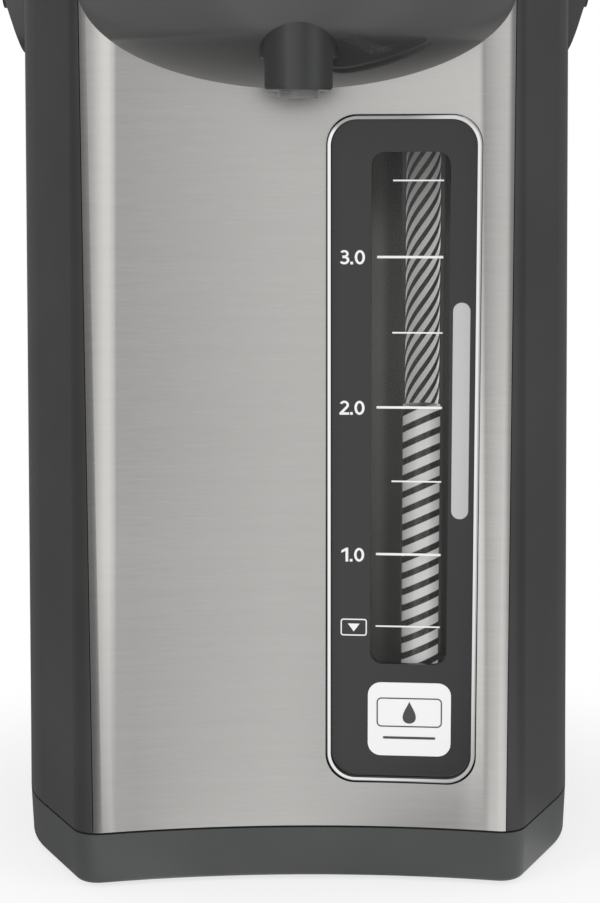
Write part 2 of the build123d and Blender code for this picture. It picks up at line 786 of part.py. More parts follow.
def head_form(inset, drop, sink=0.0):
    """Nose and saddle under the control face, drawn in by inset and lowered by drop."""
    ceiling = head_rear_z + 10
    nose = rod(0, nose_centre_y, hull_top - sink, ceiling, nose_radius - inset)
    nose -= body_prism(seam_z, shoulder_top, -joint_gap / 2 - inset)
    saddle = body_prism(shoulder_top - sink, ceiling, top_step + inset)
    both = (nose + saddle) & block(-BIG, BIG, -BIG, head_rear_y - inset, 0, BIG)
    return both & slope_cut(drop)


def fascia_layer(margin, top, bottom):
    """The sheet of the head's form between two depths under the control face."""
    return head_form(margin, top) - slope_cut(bottom)


def key_hole(x, up, width, length):
    """Clear hole for one key through face and head."""
    hole = RectangleRounded(width + 2 * slide_gap, length + 2 * slide_gap, key_corner + slide_gap)
    return on_fascia(extrude(Pos(x, up, -6 * mould_wall) * hole, amount=12 * mould_wall))


def display_slab(margin, top, bottom):
    """Rectangle of the display, widened by margin, between two depths."""
    shape = RectangleRounded(display_width + 2 * margin, display_length + 2 * margin, key_corner)
    return on_fascia(extrude(Pos(0, display_up, -bottom) * shape, amount=bottom - top))


def head_housing():
    """Hollow moulding of the nose and saddle, with the pocket of the control face."""
    depth = fascia_thickness + mould_wall
    head = head_form(0, 0)
    brow = [edge for edge in head.edges() if abs(edge.center().Z - slope_height(edge.center().Y)) < 0.01
            and edge.center().Y < head_rear_y - 0.01]
    head = fillet(brow, head_edge)
    head -= head_form(mould_wall, depth, sink=1.0)
    head -= fascia_layer(fascia_margin - joint_gap, -1, fascia_thickness)
    head -= display_slab(-2, -1, depth + 1)
    for _, *place in keys:
        head -= key_hole(*place)
    post = Cylinder(board_post_radius, board_drop - depth)
    for x, up in board_posts:
        head += on_fascia(Pos(x, up, -(depth + board_drop) / 2) * post)
    keeper_low = bolt_low - slide_gap
    return head - block(-bolt_width / 2 - slide_gap, bolt_width / 2 + slide_gap, head_rear_y - 2 * mould_wall,
                        head_rear_y + 1, keeper_low, keeper_low + bolt_height + 2 * slide_gap)


def control_fascia():
    """Glossy control face with openings for the keys and the display."""
    face = fascia_layer(fascia_margin, 0, fascia_thickness)
    face -= display_slab(joint_gap, -1, 2 * fascia_thickness)
    for _, *place in keys:
        face -= key_hole(*place)
    return face


def key(x, up, width, length):
    """One key cap, standing a little proud of the face."""
    plan = RectangleRounded(width, length, key_corner)
    cap = extrude(Pos(x, up, key_proud - key_height) * plan, amount=key_height)
    return on_fascia(fillet(cap.edges().group_by(Axis.Z)[-1], key_edge))


def control_board():
    """Circuit board under the keys, with a switch below each."""
    near, widest, far = board_reach
    nose = board_nose_half_width
    half = board_half_width
    outline = Polyline((-nose, near), (nose, near), (half, widest), (half, far), (-half, far),
                       (-half, widest), close=True)
    board = on_fascia(extrude(Pos(0, 0, -board_drop) * make_face(outline), amount=-board_thickness))
    switch_height = board_drop - (key_height - key_proud) - key_travel - 0.3
    switch = Box(switch_size, switch_size, switch_height)
    for _, x, up, _, _ in keys:
        board += on_fascia(Pos(x, up, -board_drop + switch_height / 2) * switch)
    return board


# ---------------------------------------------------------------- shoulder and lid
def shoulder_ring():
    """Ring round the filling opening, with the gasket's ledge and the lugs of the lid hinge."""
    ring = body_prism(casing_top, shoulder_top)
    ring = fillet(ring.edges().group_by(Axis.Z)[-1], shoulder_edge)
    hollow = body_prism(casing_top - 1, shoulder_top - mould_wall, mould_wall)
    ring -= hollow - rod(0, 0, 0, BIG, container_lip + 1)
    for side in (-1, 1):
        outer = side * hinge_width / 2
        inner = side * (hinge_width / 2 - hinge_lug)
        low, high = min(outer, inner), max(outer, inner)
        rear = hinge_y + hinge_knuckle_radius
        ring += block(low, high, mouth_radius + 4, rear, hinge_foot_z, shoulder_top)
        ring += block(low, high, lid_rear_y + 2 * lid_gap, rear, hinge_foot_z, hinge_z)
        ring += cross_rod(low, high, hinge_y, hinge_z, hinge_knuckle_radius)
    ring -= cross_rod(-BIG / 4, BIG / 4, hinge_y, hinge_z, hinge_pin_radius + pin_clearance)
    ring -= rod(0, 0, casing_top + ledge_height, BIG, mouth_radius)
    ring -= rod(0, 0, 0, BIG, ledge_radius)
    for side in (-1, 1):
        root = side * (body_half_width - handle_pin_root)
        beyond = side * BIG / 4
        ring -= cross_rod(min(root, beyond), max(root, beyond), handle_pivot_y, handle_pivot_z,
                          handle_pin_radius + pin_clearance)
    return ring


def lid_form(inset, drop, low):
    """The lid's outside, drawn in by inset under a dome lowered by drop."""
    column = body_prism(low, overall_height + 5, top_step + inset)
    behind_head = block(-BIG, BIG, head_rear_y + lid_gap + inset, BIG, low - 10, BIG)
    return column & behind_head & dome(drop)


def lid_cover():
    """Domed outer lid with the lever's recess, the vent's seat and the hinge knuckle."""
    shell = lid_form(0, 0, lid_bottom)
    shell = fillet(shell.edges().filter_by(lambda e: e.center().Z > lid_bottom + 1), lid_edge)
    shell -= lid_form(lid_wall, lid_wall, lid_bottom - 1)
    half = lever_width / 2
    pocket = block(-half - slide_gap - lid_wall, half + slide_gap + lid_wall, recess_front - lid_wall,
                   recess_rear + lid_wall, recess_floor - lid_wall, BIG)
    shell += pocket & lid_form(lid_wall / 2, lid_wall / 2, lid_bottom)
    shell -= block(-half - slide_gap, half + slide_gap, recess_front, recess_rear, recess_floor, BIG)
    shell -= cross_rod(-half - lid_wall / 2, half + lid_wall / 2, lever_axis_y, lever_axis_z,
                       lever_pin_radius + pin_clearance)
    collar = rod(0, vent_y, vent_floor - lid_wall, BIG, vent_radius + lid_wall)
    shell += collar & lid_form(lid_wall / 2, lid_wall / 2, lid_bottom)
    shell -= rod(0, vent_y, vent_floor, BIG, vent_radius + joint_gap)
    shell -= rod(0, vent_y, lid_bottom, BIG, duct_radius + pin_clearance)
    tongue = hinge_width / 2 - hinge_lug - slide_gap
    knuckle_top = hinge_z + hinge_knuckle_radius
    shell += block(-tongue, tongue, lid_rear_y - 1, hinge_y, lid_bottom, knuckle_top)
    shell += cross_rod(-tongue, tongue, hinge_y, hinge_z, hinge_knuckle_radius)
    shell -= cross_rod(-BIG / 4, BIG / 4, hinge_y, hinge_z, hinge_pin_radius + pin_clearance)
    channel = bolt_width / 2 + slide_gap
    return shell - block(-channel, channel, -BIG / 4, bolt_front + bolt_length + bolt_travel,
                         bolt_low - slide_gap, bolt_low + bolt_height + slide_gap)


def lid_base():
    """Plate that closes the lid from below and carries the bolt's guide."""
    plate = lid_form(lid_wall + joint_gap, lid_wall + 2, lid_bottom)
    plate &= block(-BIG, BIG, -BIG, BIG, 0, lid_bottom + mould_wall)
    channel = bolt_width / 2 + slide_gap
    outer = channel + guide_wall
    guide_front = bolt_front + lid_wall + joint_gap
    guide_rear = bolt_front + bolt_length + bolt_travel + guide_wall
    guide = block(-outer, outer, guide_front, guide_rear, lid_bottom, bolt_low + bolt_height)
    guide -= block(-channel, channel, -BIG, BIG, bolt_low, BIG)
    return plate + guide - rod(0, vent_y, 0, lid_bottom + mould_wall + 1, duct_bore)


def inner_lid():
    """Steel dish that hangs into the filling opening, with steam holes under the vent."""
    dish = rod(0, 0, plug_bottom, lid_bottom, plug_radius)
    dish = fillet(dish.edges().group_by(Axis.Z)[0], plug_edge)
    dish -= rod(0, 0, plug_bottom + plug_wall, lid_bottom + 1, plug_radius - plug_wall)
    for place in PolarLocations(steam_hole_ring, steam_holes):
        dish -= Pos(0, vent_y - 8, plug_bottom) * place * Cylinder(steam_hole_radius, 4 * plug_wall)
    return dish


def lid_gasket():
    """Silicone ring round the inner lid, resting on the shoulder's ledge."""
    low = casing_top + ledge_height + slide_gap
    ring = rod(0, 0, low, low + gasket_height, gasket_radius)
    ring = fillet(ring.edges(), gasket_edge)
    return ring - rod(0, 0, low - 1, low + gasket_height + 1, plug_radius + pin_clearance)


def steam_duct():
    """Tube from the lid's base up to the vent."""
    tube = rod(0, vent_y, lid_bottom + mould_wall, vent_floor, duct_radius)
    return tube - rod(0, vent_y, 0, BIG, duct_bore)


def vent_cap():
    """Slotted cap over the steam duct."""
    cap = rod(0, vent_y, vent_floor, vent_floor + vent_depth, vent_radius)
    cap = fillet(cap.edges().group_by(Axis.Z)[-1], vent_edge)
    for index in range(vent_slots):
        offset_y = (index - (vent_slots - 1) / 2) * vent_slot_pitch
        length = 2 * sqrt((duct_bore + 2) ** 2 - min(offset_y ** 2, duct_bore ** 2))
        cap -= Pos(0, vent_y + offset_y, vent_floor) * Box(length, vent_slot_width, BIG / 20)
    return cap


def latch_lever():
    """Lifting lever in the lid's recess, with its two trunnions."""
    half = lever_width / 2
    heel_y = lever_axis_y + lever_heel
    plate = block(-half, half, heel_y - lever_length, heel_y, lever_axis_z - lever_thickness / 2, BIG)
    plate &= dome(slide_gap)
    reach = half + lid_wall / 2 - pin_clearance
    return plate + cross_rod(-reach, reach, lever_axis_y, lever_axis_z, lever_pin_radius)


def latch_bolt():
    """Sliding bolt in its guide, its nose just inside the lid's front."""
    half = bolt_width / 2
    bolt = block(-half, half, bolt_front, bolt_front + bolt_length, bolt_low, bolt_low + bolt_height)
    return chamfer(bolt.edges().filter_by(Axis.X).group_by(Axis.Y)[0].group_by(Axis.Z)[0], bolt_height / 2)


def hinge_pin():
    """Steel pin of the lid hinge."""
    return cross_rod(-hinge_width / 2, hinge_width / 2, hinge_y, hinge_z, hinge_pin_radius)


# ---------------------------------------------------------------- carrying handle
def handle_plan(outset):
    """Plan inside the handle, drawn out by outset: straight arms and a round bend at the back."""
    half = handle_inner_x
    front = -2 * half
    plan = make_face(Polyline((-half, front), (half, front), (half, handle_rear_y), (-half, handle_rear_y),
                              close=True))
    plan = fillet(plan.vertices().group_by(Axis.Y)[-1], handle_bend)
    return offset(plan, outset) if outset else plan


def carry_handle():
    """Bail whose outer face leans outwards, with an ear at each pivot and a slimmer bar behind."""
    slant = handle_slant_top - handle_low
    angle = degrees(atan2(handle_depth - handle_lip, slant))
    bail = extrude(Pos(0, 0, handle_low) * handle_plan(handle_lip), amount=slant, taper=-angle)
    cap = handle_high - handle_slant_top
    bail += extrude(Pos(0, 0, handle_slant_top) * handle_plan(handle_depth), amount=cap)
    bail -= extrude(Pos(0, 0, handle_low - 1) * handle_plan(0), amount=handle_high - handle_low + 2)
    front = handle_pivot_y - handle_ear
    rear = handle_reach + 5
    outline = make_face(Polyline((front, handle_high), (front, handle_low), (front + ear_length, handle_low),
                                 (front + ear_length + ear_fade, handle_bar_low), (rear, handle_bar_low),
                                 (rear, handle_high), close=True))
    ear_corners = [corner for corner in outline.vertices() if abs(corner.X - front) < 0.1]
    outline = fillet(ear_corners, handle_ear_round)
    bail &= extrude(Plane.YZ * outline, amount=BIG / 2, both=True)
    for side in (-1, 1):
        inner = side * (handle_inner_x - 1)
        outer = side * (handle_inner_x + handle_depth + 1)
        bail -= cross_rod(min(inner, outer), max(inner, outer), handle_pivot_y, handle_pivot_z,
                          handle_pin_radius + pin_clearance)
        sunk = side * (handle_inner_x + handle_depth - handle_pin_head - slide_gap)
        bail -= cross_rod(min(sunk, outer), max(sunk, outer), handle_pivot_y, handle_pivot_z,
                          handle_head_radius + slide_gap)
    return bail


def handle_pin(side):
    """Shouldered pin from the ring through one ear of the handle."""
    surface = body_half_width - (handle_pivot_z - seam_z) * lean
    root = body_half_width - handle_pin_root
    tip = handle_inner_x + handle_depth
    pin = cross_rod(root, tip, handle_pivot_y, handle_pivot_z, handle_pin_radius)
    pin += cross_rod(surface + slide_gap, handle_inner_x - slide_gap, handle_pivot_y, handle_pivot_z,
                     handle_collar_radius)
    pin += cross_rod(tip - handle_pin_head, tip, handle_pivot_y, handle_pivot_z, handle_head_radius)
    return pin if side > 0 else mirror(pin, about=Plane.YZ)


# ---------------------------------------------------------------- power inlet and board
def inlet_housing():
    """Recess for a magnetic plug, with a flange that follows the round back."""
    half_width = inlet_width / 2
    half_height = inlet_height / 2
    back = body_half_width + inlet_proud
    shell = block(-half_width, half_width, back - inlet_depth - inlet_wall, back,
                  inlet_z - half_height, inlet_z + half_height)
    flange = block(-half_width - inlet_flange, half_width + inlet_flange, body_half_width - 8, back,
                   inlet_z - half_height - inlet_flange, inlet_z + half_height + inlet_flange)
    shell += flange - body_prism(seam_z, casing_top, -pin_clearance)
    return shell - block(-half_width + inlet_wall, half_width - inlet_wall, back - inlet_depth, back + 1,
                         inlet_z - half_height + inlet_wall, inlet_z + half_height - inlet_wall)


def inlet_pins():
    """Two contact pins on the floor of the recess."""
    floor_y = body_half_width + inlet_proud - inlet_depth
    pins = []
    for side in (-1, 1):
        pin = Pos(side * inlet_pin_spacing / 2, floor_y + inlet_pin_length / 2, inlet_z)
        pins.append(pin * Rot(90, 0, 0) * Cylinder(inlet_pin_radius, inlet_pin_length))
    return Compound(pins)


def inlet_plates():
    """Two steel plates that the plug's magnets hold on to."""
    floor_y = body_half_width + inlet_proud - inlet_depth
    plates = []
    for side in (-1, 1):
        place = Pos(side * inlet_plate_x, floor_y + inlet_plate_thickness / 2, inlet_z)
        plates.append(place * Box(inlet_plate_width, inlet_plate_thickness, inlet_height - 4 * inlet_wall))
    return Compound(plates)


def power_board():
    """Supply board on its posts, with a relay, a coil and a capacitor."""
    low = cover_top + board_standoff
    top = low + board_thickness
    x, y = board_spot
    board = Pos(x, y, low + board_thickness / 2) * Box(board_width, board_length, board_thickness)
    for dx in (-board_width / 2 + 4, board_width / 2 - 4):
        for dy in (-board_length / 2 + 4, board_length / 2 - 4):
            board += rod(x + dx, y + dy, cover_top, low, 2.5)
    for dx, dy, width, length, height in board_parts:
        board += Pos(x + dx, y + dy, top + height / 2) * Box(width, length, height)
    dx, dy, radius, height = capacitor
    return board + rod(x + dx, y + dy, top, top + height, radius)


# ---------------------------------------------------------------- write every piece
pieces = {
    "base_shell": base_shell(),
    "bottom_cover": bottom_cover(),
    "seam_gasket": seam_gasket(),
    "side_casing": side_casing(),
    "front_panel": front_panel(),
    "gauge_bezel": gauge_bezel(),
    "gauge_plate": gauge_plate(),
    "gauge_window": gauge_window(),
    "gauge_trough": gauge_trough(),
    "stripe_card": stripe_card(),
    "sight_tube": sight_tube(),
    "tube_seal": tube_seal(),
    "tip_over_valve": tip_over_valve(),
    "valve_ball": valve_ball(),
    "container": container(),
    "insulation_jacket": insulation_jacket(),
    "heater_plate": heater_plate(),
    "thermostat": thermostat(),
    "thermal_fuse": thermal_fuse(),
    "pump_body": pump_body(),
    "pump_cover": pump_cover(),
    "pump_impeller": pump_impeller(),
    "motor": motor(),
    "motor_rotor": motor_rotor(),
    "outlet_hose": outlet_hose(),
    "outlet_pipe": outlet_pipe(),
    "hull": hull(),
    "spout_housing": spout_housing(),
    "nozzle": nozzle(),
    "head_housing": head_housing(),
    "control_fascia": control_fascia(),
    "display_window": display_slab(0, 0.1, fascia_thickness),
    "display_panel": display_slab(-2 - slide_gap, fascia_thickness, board_drop),
    "control_board": control_board(),
    "shoulder_ring": shoulder_ring(),
    "lid_cover": lid_cover(),
    "lid_base": lid_base(),
    "inner_lid": inner_lid(),
    "lid_gasket": lid_gasket(),
    "steam_duct": steam_duct(),
    "vent_cap": vent_cap(),
    "latch_lever": latch_lever(),
    "latch_bolt": latch_bolt(),
    "hinge_pin": hinge_pin(),
    "carry_handle": carry_handle(),
    "handle_pin_left": handle_pin(-1),
    "handle_pin_right": handle_pin(1),
    "inlet_housing": inlet_housing(),
    "inlet_pins": inlet_pins(),
    "inlet_plates": inlet_plates(),
    "power_board": power_board(),
}
for name, x, up, width, length in keys:
    pieces["key_" + name] = key(x, up, width, length)
for number, (x, y) in enumerate(foot_places, start=1):
    pieces["foot_" + str(number)] = foot(x, y)

os.makedirs("parts", exist_ok=True)
for name, piece in pieces.items():
    export_step(Pos(0, axis_y, 0) * piece, "parts/" + name + ".step")
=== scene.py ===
# %% [markdown]
# # An electric thermo pot
# The solids of the pot come from the CAD model, and every one of them stays where it is. This lesson
# gives them their surfaces, adds the print and the small parts that are too fine for the solids, and
# sets up the camera and the light. Each step says what the real thing is and why it is made that way.

# %% Load the solids
import json
import math

import bmesh
import bpy
from mathutils import Matrix, Vector


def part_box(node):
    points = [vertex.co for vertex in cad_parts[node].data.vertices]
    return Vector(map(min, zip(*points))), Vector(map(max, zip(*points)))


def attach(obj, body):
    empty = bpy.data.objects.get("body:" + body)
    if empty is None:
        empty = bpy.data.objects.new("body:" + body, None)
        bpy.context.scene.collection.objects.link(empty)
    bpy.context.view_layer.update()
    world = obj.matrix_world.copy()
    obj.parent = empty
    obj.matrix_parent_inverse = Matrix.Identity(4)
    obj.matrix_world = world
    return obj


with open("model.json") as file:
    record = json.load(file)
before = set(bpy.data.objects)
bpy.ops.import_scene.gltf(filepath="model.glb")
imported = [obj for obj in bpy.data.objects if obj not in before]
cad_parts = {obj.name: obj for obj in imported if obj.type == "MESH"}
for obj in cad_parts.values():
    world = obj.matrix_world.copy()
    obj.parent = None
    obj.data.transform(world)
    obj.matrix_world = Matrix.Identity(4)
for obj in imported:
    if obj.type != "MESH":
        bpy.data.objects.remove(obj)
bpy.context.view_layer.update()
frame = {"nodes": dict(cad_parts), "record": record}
nodes = frame["nodes"]
record = frame["record"]
scene = bpy.context.scene
MM = 0.001

# %% [markdown]
# ## Shader maths as Python
# A material is a small program. Written as loose nodes it is hard to read, so one class wraps a socket
# and lets Python's own operators add the Math nodes. A second class holds one material and makes every
# other kind of node with a single method.


# %% A number that lives in a shader
class Signal:
    """One value of a shader: operators on it add Math nodes to its material."""

    def __init__(self, finish, socket):
        self.finish = finish
        self.socket = socket

    def math(self, operation, *others):
        """Add a Math node that works on this value and the others."""
        values = dict(enumerate((self,) + others))
        return self.finish.node("ShaderNodeMath", {"operation": operation}, values)

    def __add__(self, other):
        return self.math("ADD", other)

    __radd__ = __add__

    def __mul__(self, other):
        return self.math("MULTIPLY", other)

    __rmul__ = __mul__

    def __sub__(self, other):
        return self.math("SUBTRACT", other)

    def __rsub__(self, other):
        return self.finish.node("ShaderNodeMath", {"operation": "SUBTRACT"}, {0: other, 1: self})

    def __truediv__(self, other):
        return self.math("DIVIDE", other)

    def __gt__(self, other):
        return self.math("GREATER_THAN", other)

    def __lt__(self, other):
        return self.math("LESS_THAN", other)

    def __neg__(self):
        return self.math("MULTIPLY", -1.0)

    def size(self):
        """The value without its sign."""
        return self.math("ABSOLUTE")

    def least(self, other):
        """The smaller of the two."""
        return self.math("MINIMUM", other)

    def most(self, other):
        """The larger of the two."""
        return self.math("MAXIMUM", other)

    def wave(self):
        """Saw tooth of period 1."""
        return self.math("FRACT")

    def smooth(self, low, high):
        """0 below low, 1 above high, soft between."""
        settings = {"interpolation_type": "SMOOTHSTEP"}
        return self.finish.node("ShaderNodeMapRange", settings, {0: self, 1: low, 2: high}, out="Result")


# %% [markdown]
# ## One material
# A material starts as a Principled shader and an output, with any fixed values set by name. Its methods
# cover what the finishes of the pot share: places on the object, noise, blends of colour and relief.


# %% A material and its nodes
class Finish:
    """One node material with a Principled shader."""

    def __init__(self, name, **constants):
        self.material = bpy.data.materials.new(name)
        self.material.use_nodes = True
        self.tree = self.material.node_tree
        self.tree.nodes.clear()
        self.output = self.tree.nodes.new("ShaderNodeOutputMaterial")
        self.shader = self.tree.nodes.new("ShaderNodeBsdfPrincipled")
        self.tree.links.new(self.shader.outputs[0], self.output.inputs[0])
        for socket, value in constants.items():
            self.shader.inputs[socket.replace("_", " ")].default_value = value

    def node(self, kind, settings=None, inputs=None, out=0):
        """Add a node, set it up, feed its sockets and return one output."""
        made = self.tree.nodes.new(kind)
        for key, value in (settings or {}).items():
            setattr(made, key, value)
        for key, value in (inputs or {}).items():
            if isinstance(value, Signal):
                self.tree.links.new(value.socket, made.inputs[key])
            else:
                made.inputs[key].default_value = value
        return Signal(self, made.outputs[out])

    def feed(self, socket, signal):
        """Drive one socket of the shader."""
        self.tree.links.new(signal.socket, self.shader.inputs[socket])
        return self

    def place(self):
        """Object coordinates, in metres, in the frame of the pot."""
        return self.node("ShaderNodeTexCoord", out="Object")

    def axes(self):
        """The three object coordinates as numbers."""
        split = self.node("ShaderNodeSeparateXYZ", None, {0: self.place()}).socket.node
        return [Signal(self, socket) for socket in split.outputs]

    def noise(self, scale, detail=2.0, stretch=(1, 1, 1), roughness=0.5):
        """Noise between 0 and 1, drawn out along an axis where stretch is small."""
        spread = self.node("ShaderNodeMapping", None, {"Vector": self.place(), "Scale": stretch})
        values = {"Vector": spread, "Scale": scale, "Detail": detail, "Roughness": roughness}
        return self.node("ShaderNodeTexNoise", None, values)

    def blend(self, factor, first, second):
        """Colour from first at 0 to second at 1."""
        values = {"Factor": factor, "A": first, "B": second}
        chosen = self.node("ShaderNodeMix", {"data_type": "RGBA"}).socket.node
        for key, socket in (("Factor", chosen.inputs[0]), ("A", chosen.inputs[6]), ("B", chosen.inputs[7])):
            if isinstance(values[key], Signal):
                self.tree.links.new(values[key].socket, socket)
            else:
                socket.default_value = values[key]
        return Signal(self, chosen.outputs[2])

    def scaled(self, colour, factor):
        """A fixed colour made brighter or darker by a factor."""
        values = {0: colour[:3], "Scale": factor}
        return self.node("ShaderNodeVectorMath", {"operation": "SCALE"}, values)

    def shine(self, roughness, scale, swing):
        """Roughness that wanders a little round its value."""
        return self.feed("Roughness", roughness + (self.noise(scale, 2.0) - 0.5) * swing)

    def bump(self, height, depth):
        """Relief of that depth in metres."""
        values = {"Height": height, "Distance": depth, "Strength": 1.0}
        return self.feed("Normal", self.node("ShaderNodeBump", None, values))


def grey(level, red=0.0, blue=0.0):
    """A colour a little warmer or cooler than a neutral of that level."""
    return (level * (1 + red), level, level * (1 + blue), 1.0)


def shaded(colour, factor):
    """The same colour at another level."""
    return tuple(min(1.0, channel * factor) for channel in colour[:3]) + (1.0,)


# %% [markdown]
# ## Moulded plastics
# The dark case, the base, the handle and the inner mouldings are injection-moulded. Their tools leave a
# very fine grain, and the surface is never equally shiny all over. Two noises are enough: a fine one for
# the grain and a broad one for colour and shine.


# %% Moulded plastics
def moulded(name, colour, shine, grain=0.00002, drift=0.12, **more):
    """Plastic with a fine grain, a broad drift of tone and an uneven shine."""
    finish = Finish(name, **more)
    broad = finish.noise(drift_scale, 3.0).smooth(0.3, 0.7)
    finish.feed("Base Color", finish.blend(broad, shaded(colour, 1 - drift), shaded(colour, 1 + drift)))
    finish.shine(shine, scale=60.0, swing=0.06)
    if grain:
        finish.bump(finish.noise(grain_scale, 1.0), grain)
    return finish.material


drift_scale = 14.0
grain_scale = 2600.0
materials = {
    "base_plastic": moulded("satin_base_moulding", grey(0.058, -0.04, -0.01), 0.42, Specular_IOR_Level=0.4),
    "case_plastic": moulded("satin_case_moulding", grey(0.034), 0.32, grain=0.000008,
                            Specular_IOR_Level=0.35),
    "lid_plastic": moulded("satin_lid_moulding", grey(0.052), 0.40),
    "handle_plastic": moulded("satin_handle_moulding", grey(0.055), 0.38),
    "pin_plastic": moulded("satin_pivot_moulding", grey(0.035), 0.45),
    "dark_inner_plastic": moulded("dull_black_moulding", grey(0.018), 0.60),
    "inner_plastic": moulded("natural_grey_moulding", grey(0.35, 0.02, -0.03), 0.50),
    "vent_plastic": moulded("dull_vent_moulding", grey(0.03), 0.55),
    "lever_plastic": moulded("satin_lever_moulding", grey(0.09), 0.38),
    "key_plastic": moulded("satin_key_moulding", grey(0.17), 0.35, grain=0.000006),
    "display_grey": moulded("display_ground", (0.33, 0.38, 0.31, 1.0), 0.45, grain=0),
    "black_rubber": moulded("matt_rubber", grey(0.014), 0.75, grain=0.00005),
    "silicone": moulded("milky_silicone", grey(0.55, 0.02, -0.04), 0.45, Subsurface_Weight=0.15),
    "insulation": moulded("felted_jacket", grey(0.62, 0.03, -0.05), 0.9, grain=0.0004, drift=0.2),
    "circuit_board": moulded("green_board", (0.03, 0.16, 0.07, 1.0), 0.4, grain=0, drift=0.25),
}
print("moulded finishes:", len(materials))

# %% [markdown]
# ## Glossy plastics
# The nose and the spout are polished black-grey mouldings. They work as dark mirrors: what they show is
# mostly the steel below them. A low roughness does that, with a faint unevenness so that the reflections
# are not perfect, as in any moulded part. The wall of the nose, above its bend, is a little paler and more
# satin than its underside.


# %% Glossy plastics
def swelling(finish, shine, swell):
    """The shine and the long low swell that all polished mouldings share."""
    finish.shine(shine, scale=35.0, swing=0.03)
    return finish.bump(finish.noise(55.0, 1.0), swell).material


def polished(name, colour, shine=0.06, swell=0.00003):
    """Polished plastic with a faint long swell in its surface."""
    finish = Finish(name, Specular_IOR_Level=0.5)
    mottle = finish.noise(9.0, 2.0).smooth(0.25, 0.75)
    finish.feed("Base Color", finish.blend(mottle, shaded(colour, 0.85), colour))
    return swelling(finish, shine, swell)


def nose():
    """Polished underside and satin wall of the nose."""
    finish = Finish("polished_nose", Specular_IOR_Level=0.22)
    wall = finish.axes()[2].smooth(nose_bend - bend_reach, nose_bend + bend_reach)
    finish.feed("Base Color", finish.blend(wall, grey(0.040), grey(0.080, -0.01)))
    return swelling(finish, wall * (satin_shine - mirror_shine) + mirror_shine, swell=0.00003)


nose_bend = 270.5 * MM
bend_reach = 2.5 * MM
mirror_shine = 0.06
satin_shine = 0.24
materials["hull_gloss"] = nose()
materials["head_gloss"] = polished("polished_head", grey(0.055, -0.01), shine=0.26)
materials["spout_plastic"] = polished("polished_spout", grey(0.030, -0.03, 0.02), shine=0.28)
materials["fascia_gloss"] = polished("polished_control_face", grey(0.018), shine=0.08)
print("with the glossy ones:", len(materials))

# %% [markdown]
# ## Metals
# The front is brushed along its width, so its streaks are short in height and very long in width. The
# same streaks make the tone, the roughness and the relief, because on the real sheet they are one thing:
# scratches. The sheet turns back along both sides. That rolled edge is too fine for the solid, so it is
# relief: a rounded crease that bends the light, and then a curl. Shade and highlight are also painted into
# the colour by place: painted shade keeps the left foot from glaring where it mirrors the floor, and a
# painted highlight lifts the narrow strip low down on the right. Cast metal and the metal inside get the
# same recipe with other proportions.


# %% Metals
def painted_shade_and_highlight(finish):
    """Factor for the front's colour: painted shade towards the left foot, a painted highlight low down
    along the right edge.
    """
    x, _, z = finish.axes()
    left = (x / -darker_reach).most(0.0).least(1.0)
    foot = (1.0 - z / foot_top).most(0.0)
    right = x.smooth(*strip_edge) * (1.0 - z.smooth(*strip_fade))
    return 1.0 - foot * left * (left + 1.0) * painted_foot_shade_share + right * painted_strip_highlight_share


def rolled_edge(finish, relief):
    """The relief of a sheet that turns back at both sides."""
    x, _, z = finish.axes()
    past = (x.size() + (z - roll_height) * body_lean - roll_start).most(0.0)
    begun = past.least(crease_reach)
    crease = begun * begun / (2 * crease_reach) + (past - begun)
    return relief - crease * roll_crease - past * past * roll_curl


def brushed(name, colour, shine, stretch, contrast=0.05, depth=0.000004, rolled=False):
    """Metal with scratches along the axes whose stretch is small."""
    finish = Finish(name, Metallic=1.0)
    fine = finish.noise(1.0, 3.0, stretch=stretch, roughness=0.7)
    broad = finish.noise(1.0, 2.0, stretch=tuple(axis * broad_stretch for axis in stretch))
    tone = (fine - 0.5) * contrast + (broad - 0.5) * contrast * broad_share + 1.0
    relief = fine * depth
    if rolled:
        # Painted shade at the left foot and a painted highlight on the right strip.
        tone = tone * painted_shade_and_highlight(finish)
        relief = rolled_edge(finish, relief)
    finish.feed("Base Color", finish.scaled(colour, tone))
    finish.feed("Roughness", shine + (fine - 0.5) * 0.10)
    return finish.bump(relief, 1.0).material


broad_stretch = 0.12
broad_share = 0.4
# Where the front sheet's painted shade and painted highlight lie, and how strong they are.
darker_reach = 53 * MM
foot_top = 111 * MM
painted_foot_shade_share = 0.21
strip_edge = (50 * MM, 57 * MM)
strip_fade = (110 * MM, 230 * MM)
painted_strip_highlight_share = 0.2
body_lean = math.tan(math.radians(0.86))
roll_height = 150 * MM
roll_start = 57.4 * MM
roll_crease = 0.26
crease_reach = 2.2 * MM
roll_curl = 16.0
across = (80.0, 80.0, 2600.0)
even = (420.0, 420.0, 420.0)
materials.update({
    "brushed_panel": brushed("brushed_front_sheet", grey(0.50, 0.015, -0.03), 0.25, across, contrast=0.14,
                             rolled=True),
    "steel_small": brushed("plain_steel", grey(0.56), 0.32, even),
    "container_steel": brushed("satin_container_steel", grey(0.58), 0.28, (8.0, 8.0, 900.0)),
    "cast_aluminium": brushed("cast_aluminium", grey(0.60), 0.5, (160.0, 160.0, 160.0), depth=0.00006),
    "brass_contacts": brushed("brass_contacts", (0.62, 0.45, 0.18, 1.0), 0.28, even),
})
print("with the metals:", len(materials))

# %% [markdown]
# ## Clear parts
# The gauge's pane, the sight tube and the nozzle are thin clear parts. A thin pane needs no refraction to
# look right: a shader that is mostly see-through and still mirrors the room at its surface reads as glass
# and stays clean at few samples.


# %% Clear parts
def clear(name, colour, cover, shine=0.04):
    """Thin clear material that lets most of what is behind it through."""
    finish = Finish(name, Specular_IOR_Level=0.6)
    haze = finish.noise(40.0, 2.0)
    finish.feed("Base Color", finish.blend(haze.smooth(0.35, 0.65), colour, shaded(colour, 1.3)))
    finish.feed("Roughness", shine + haze * 0.03)
    return finish.feed("Alpha", cover + (haze - 0.5) * 0.04).material


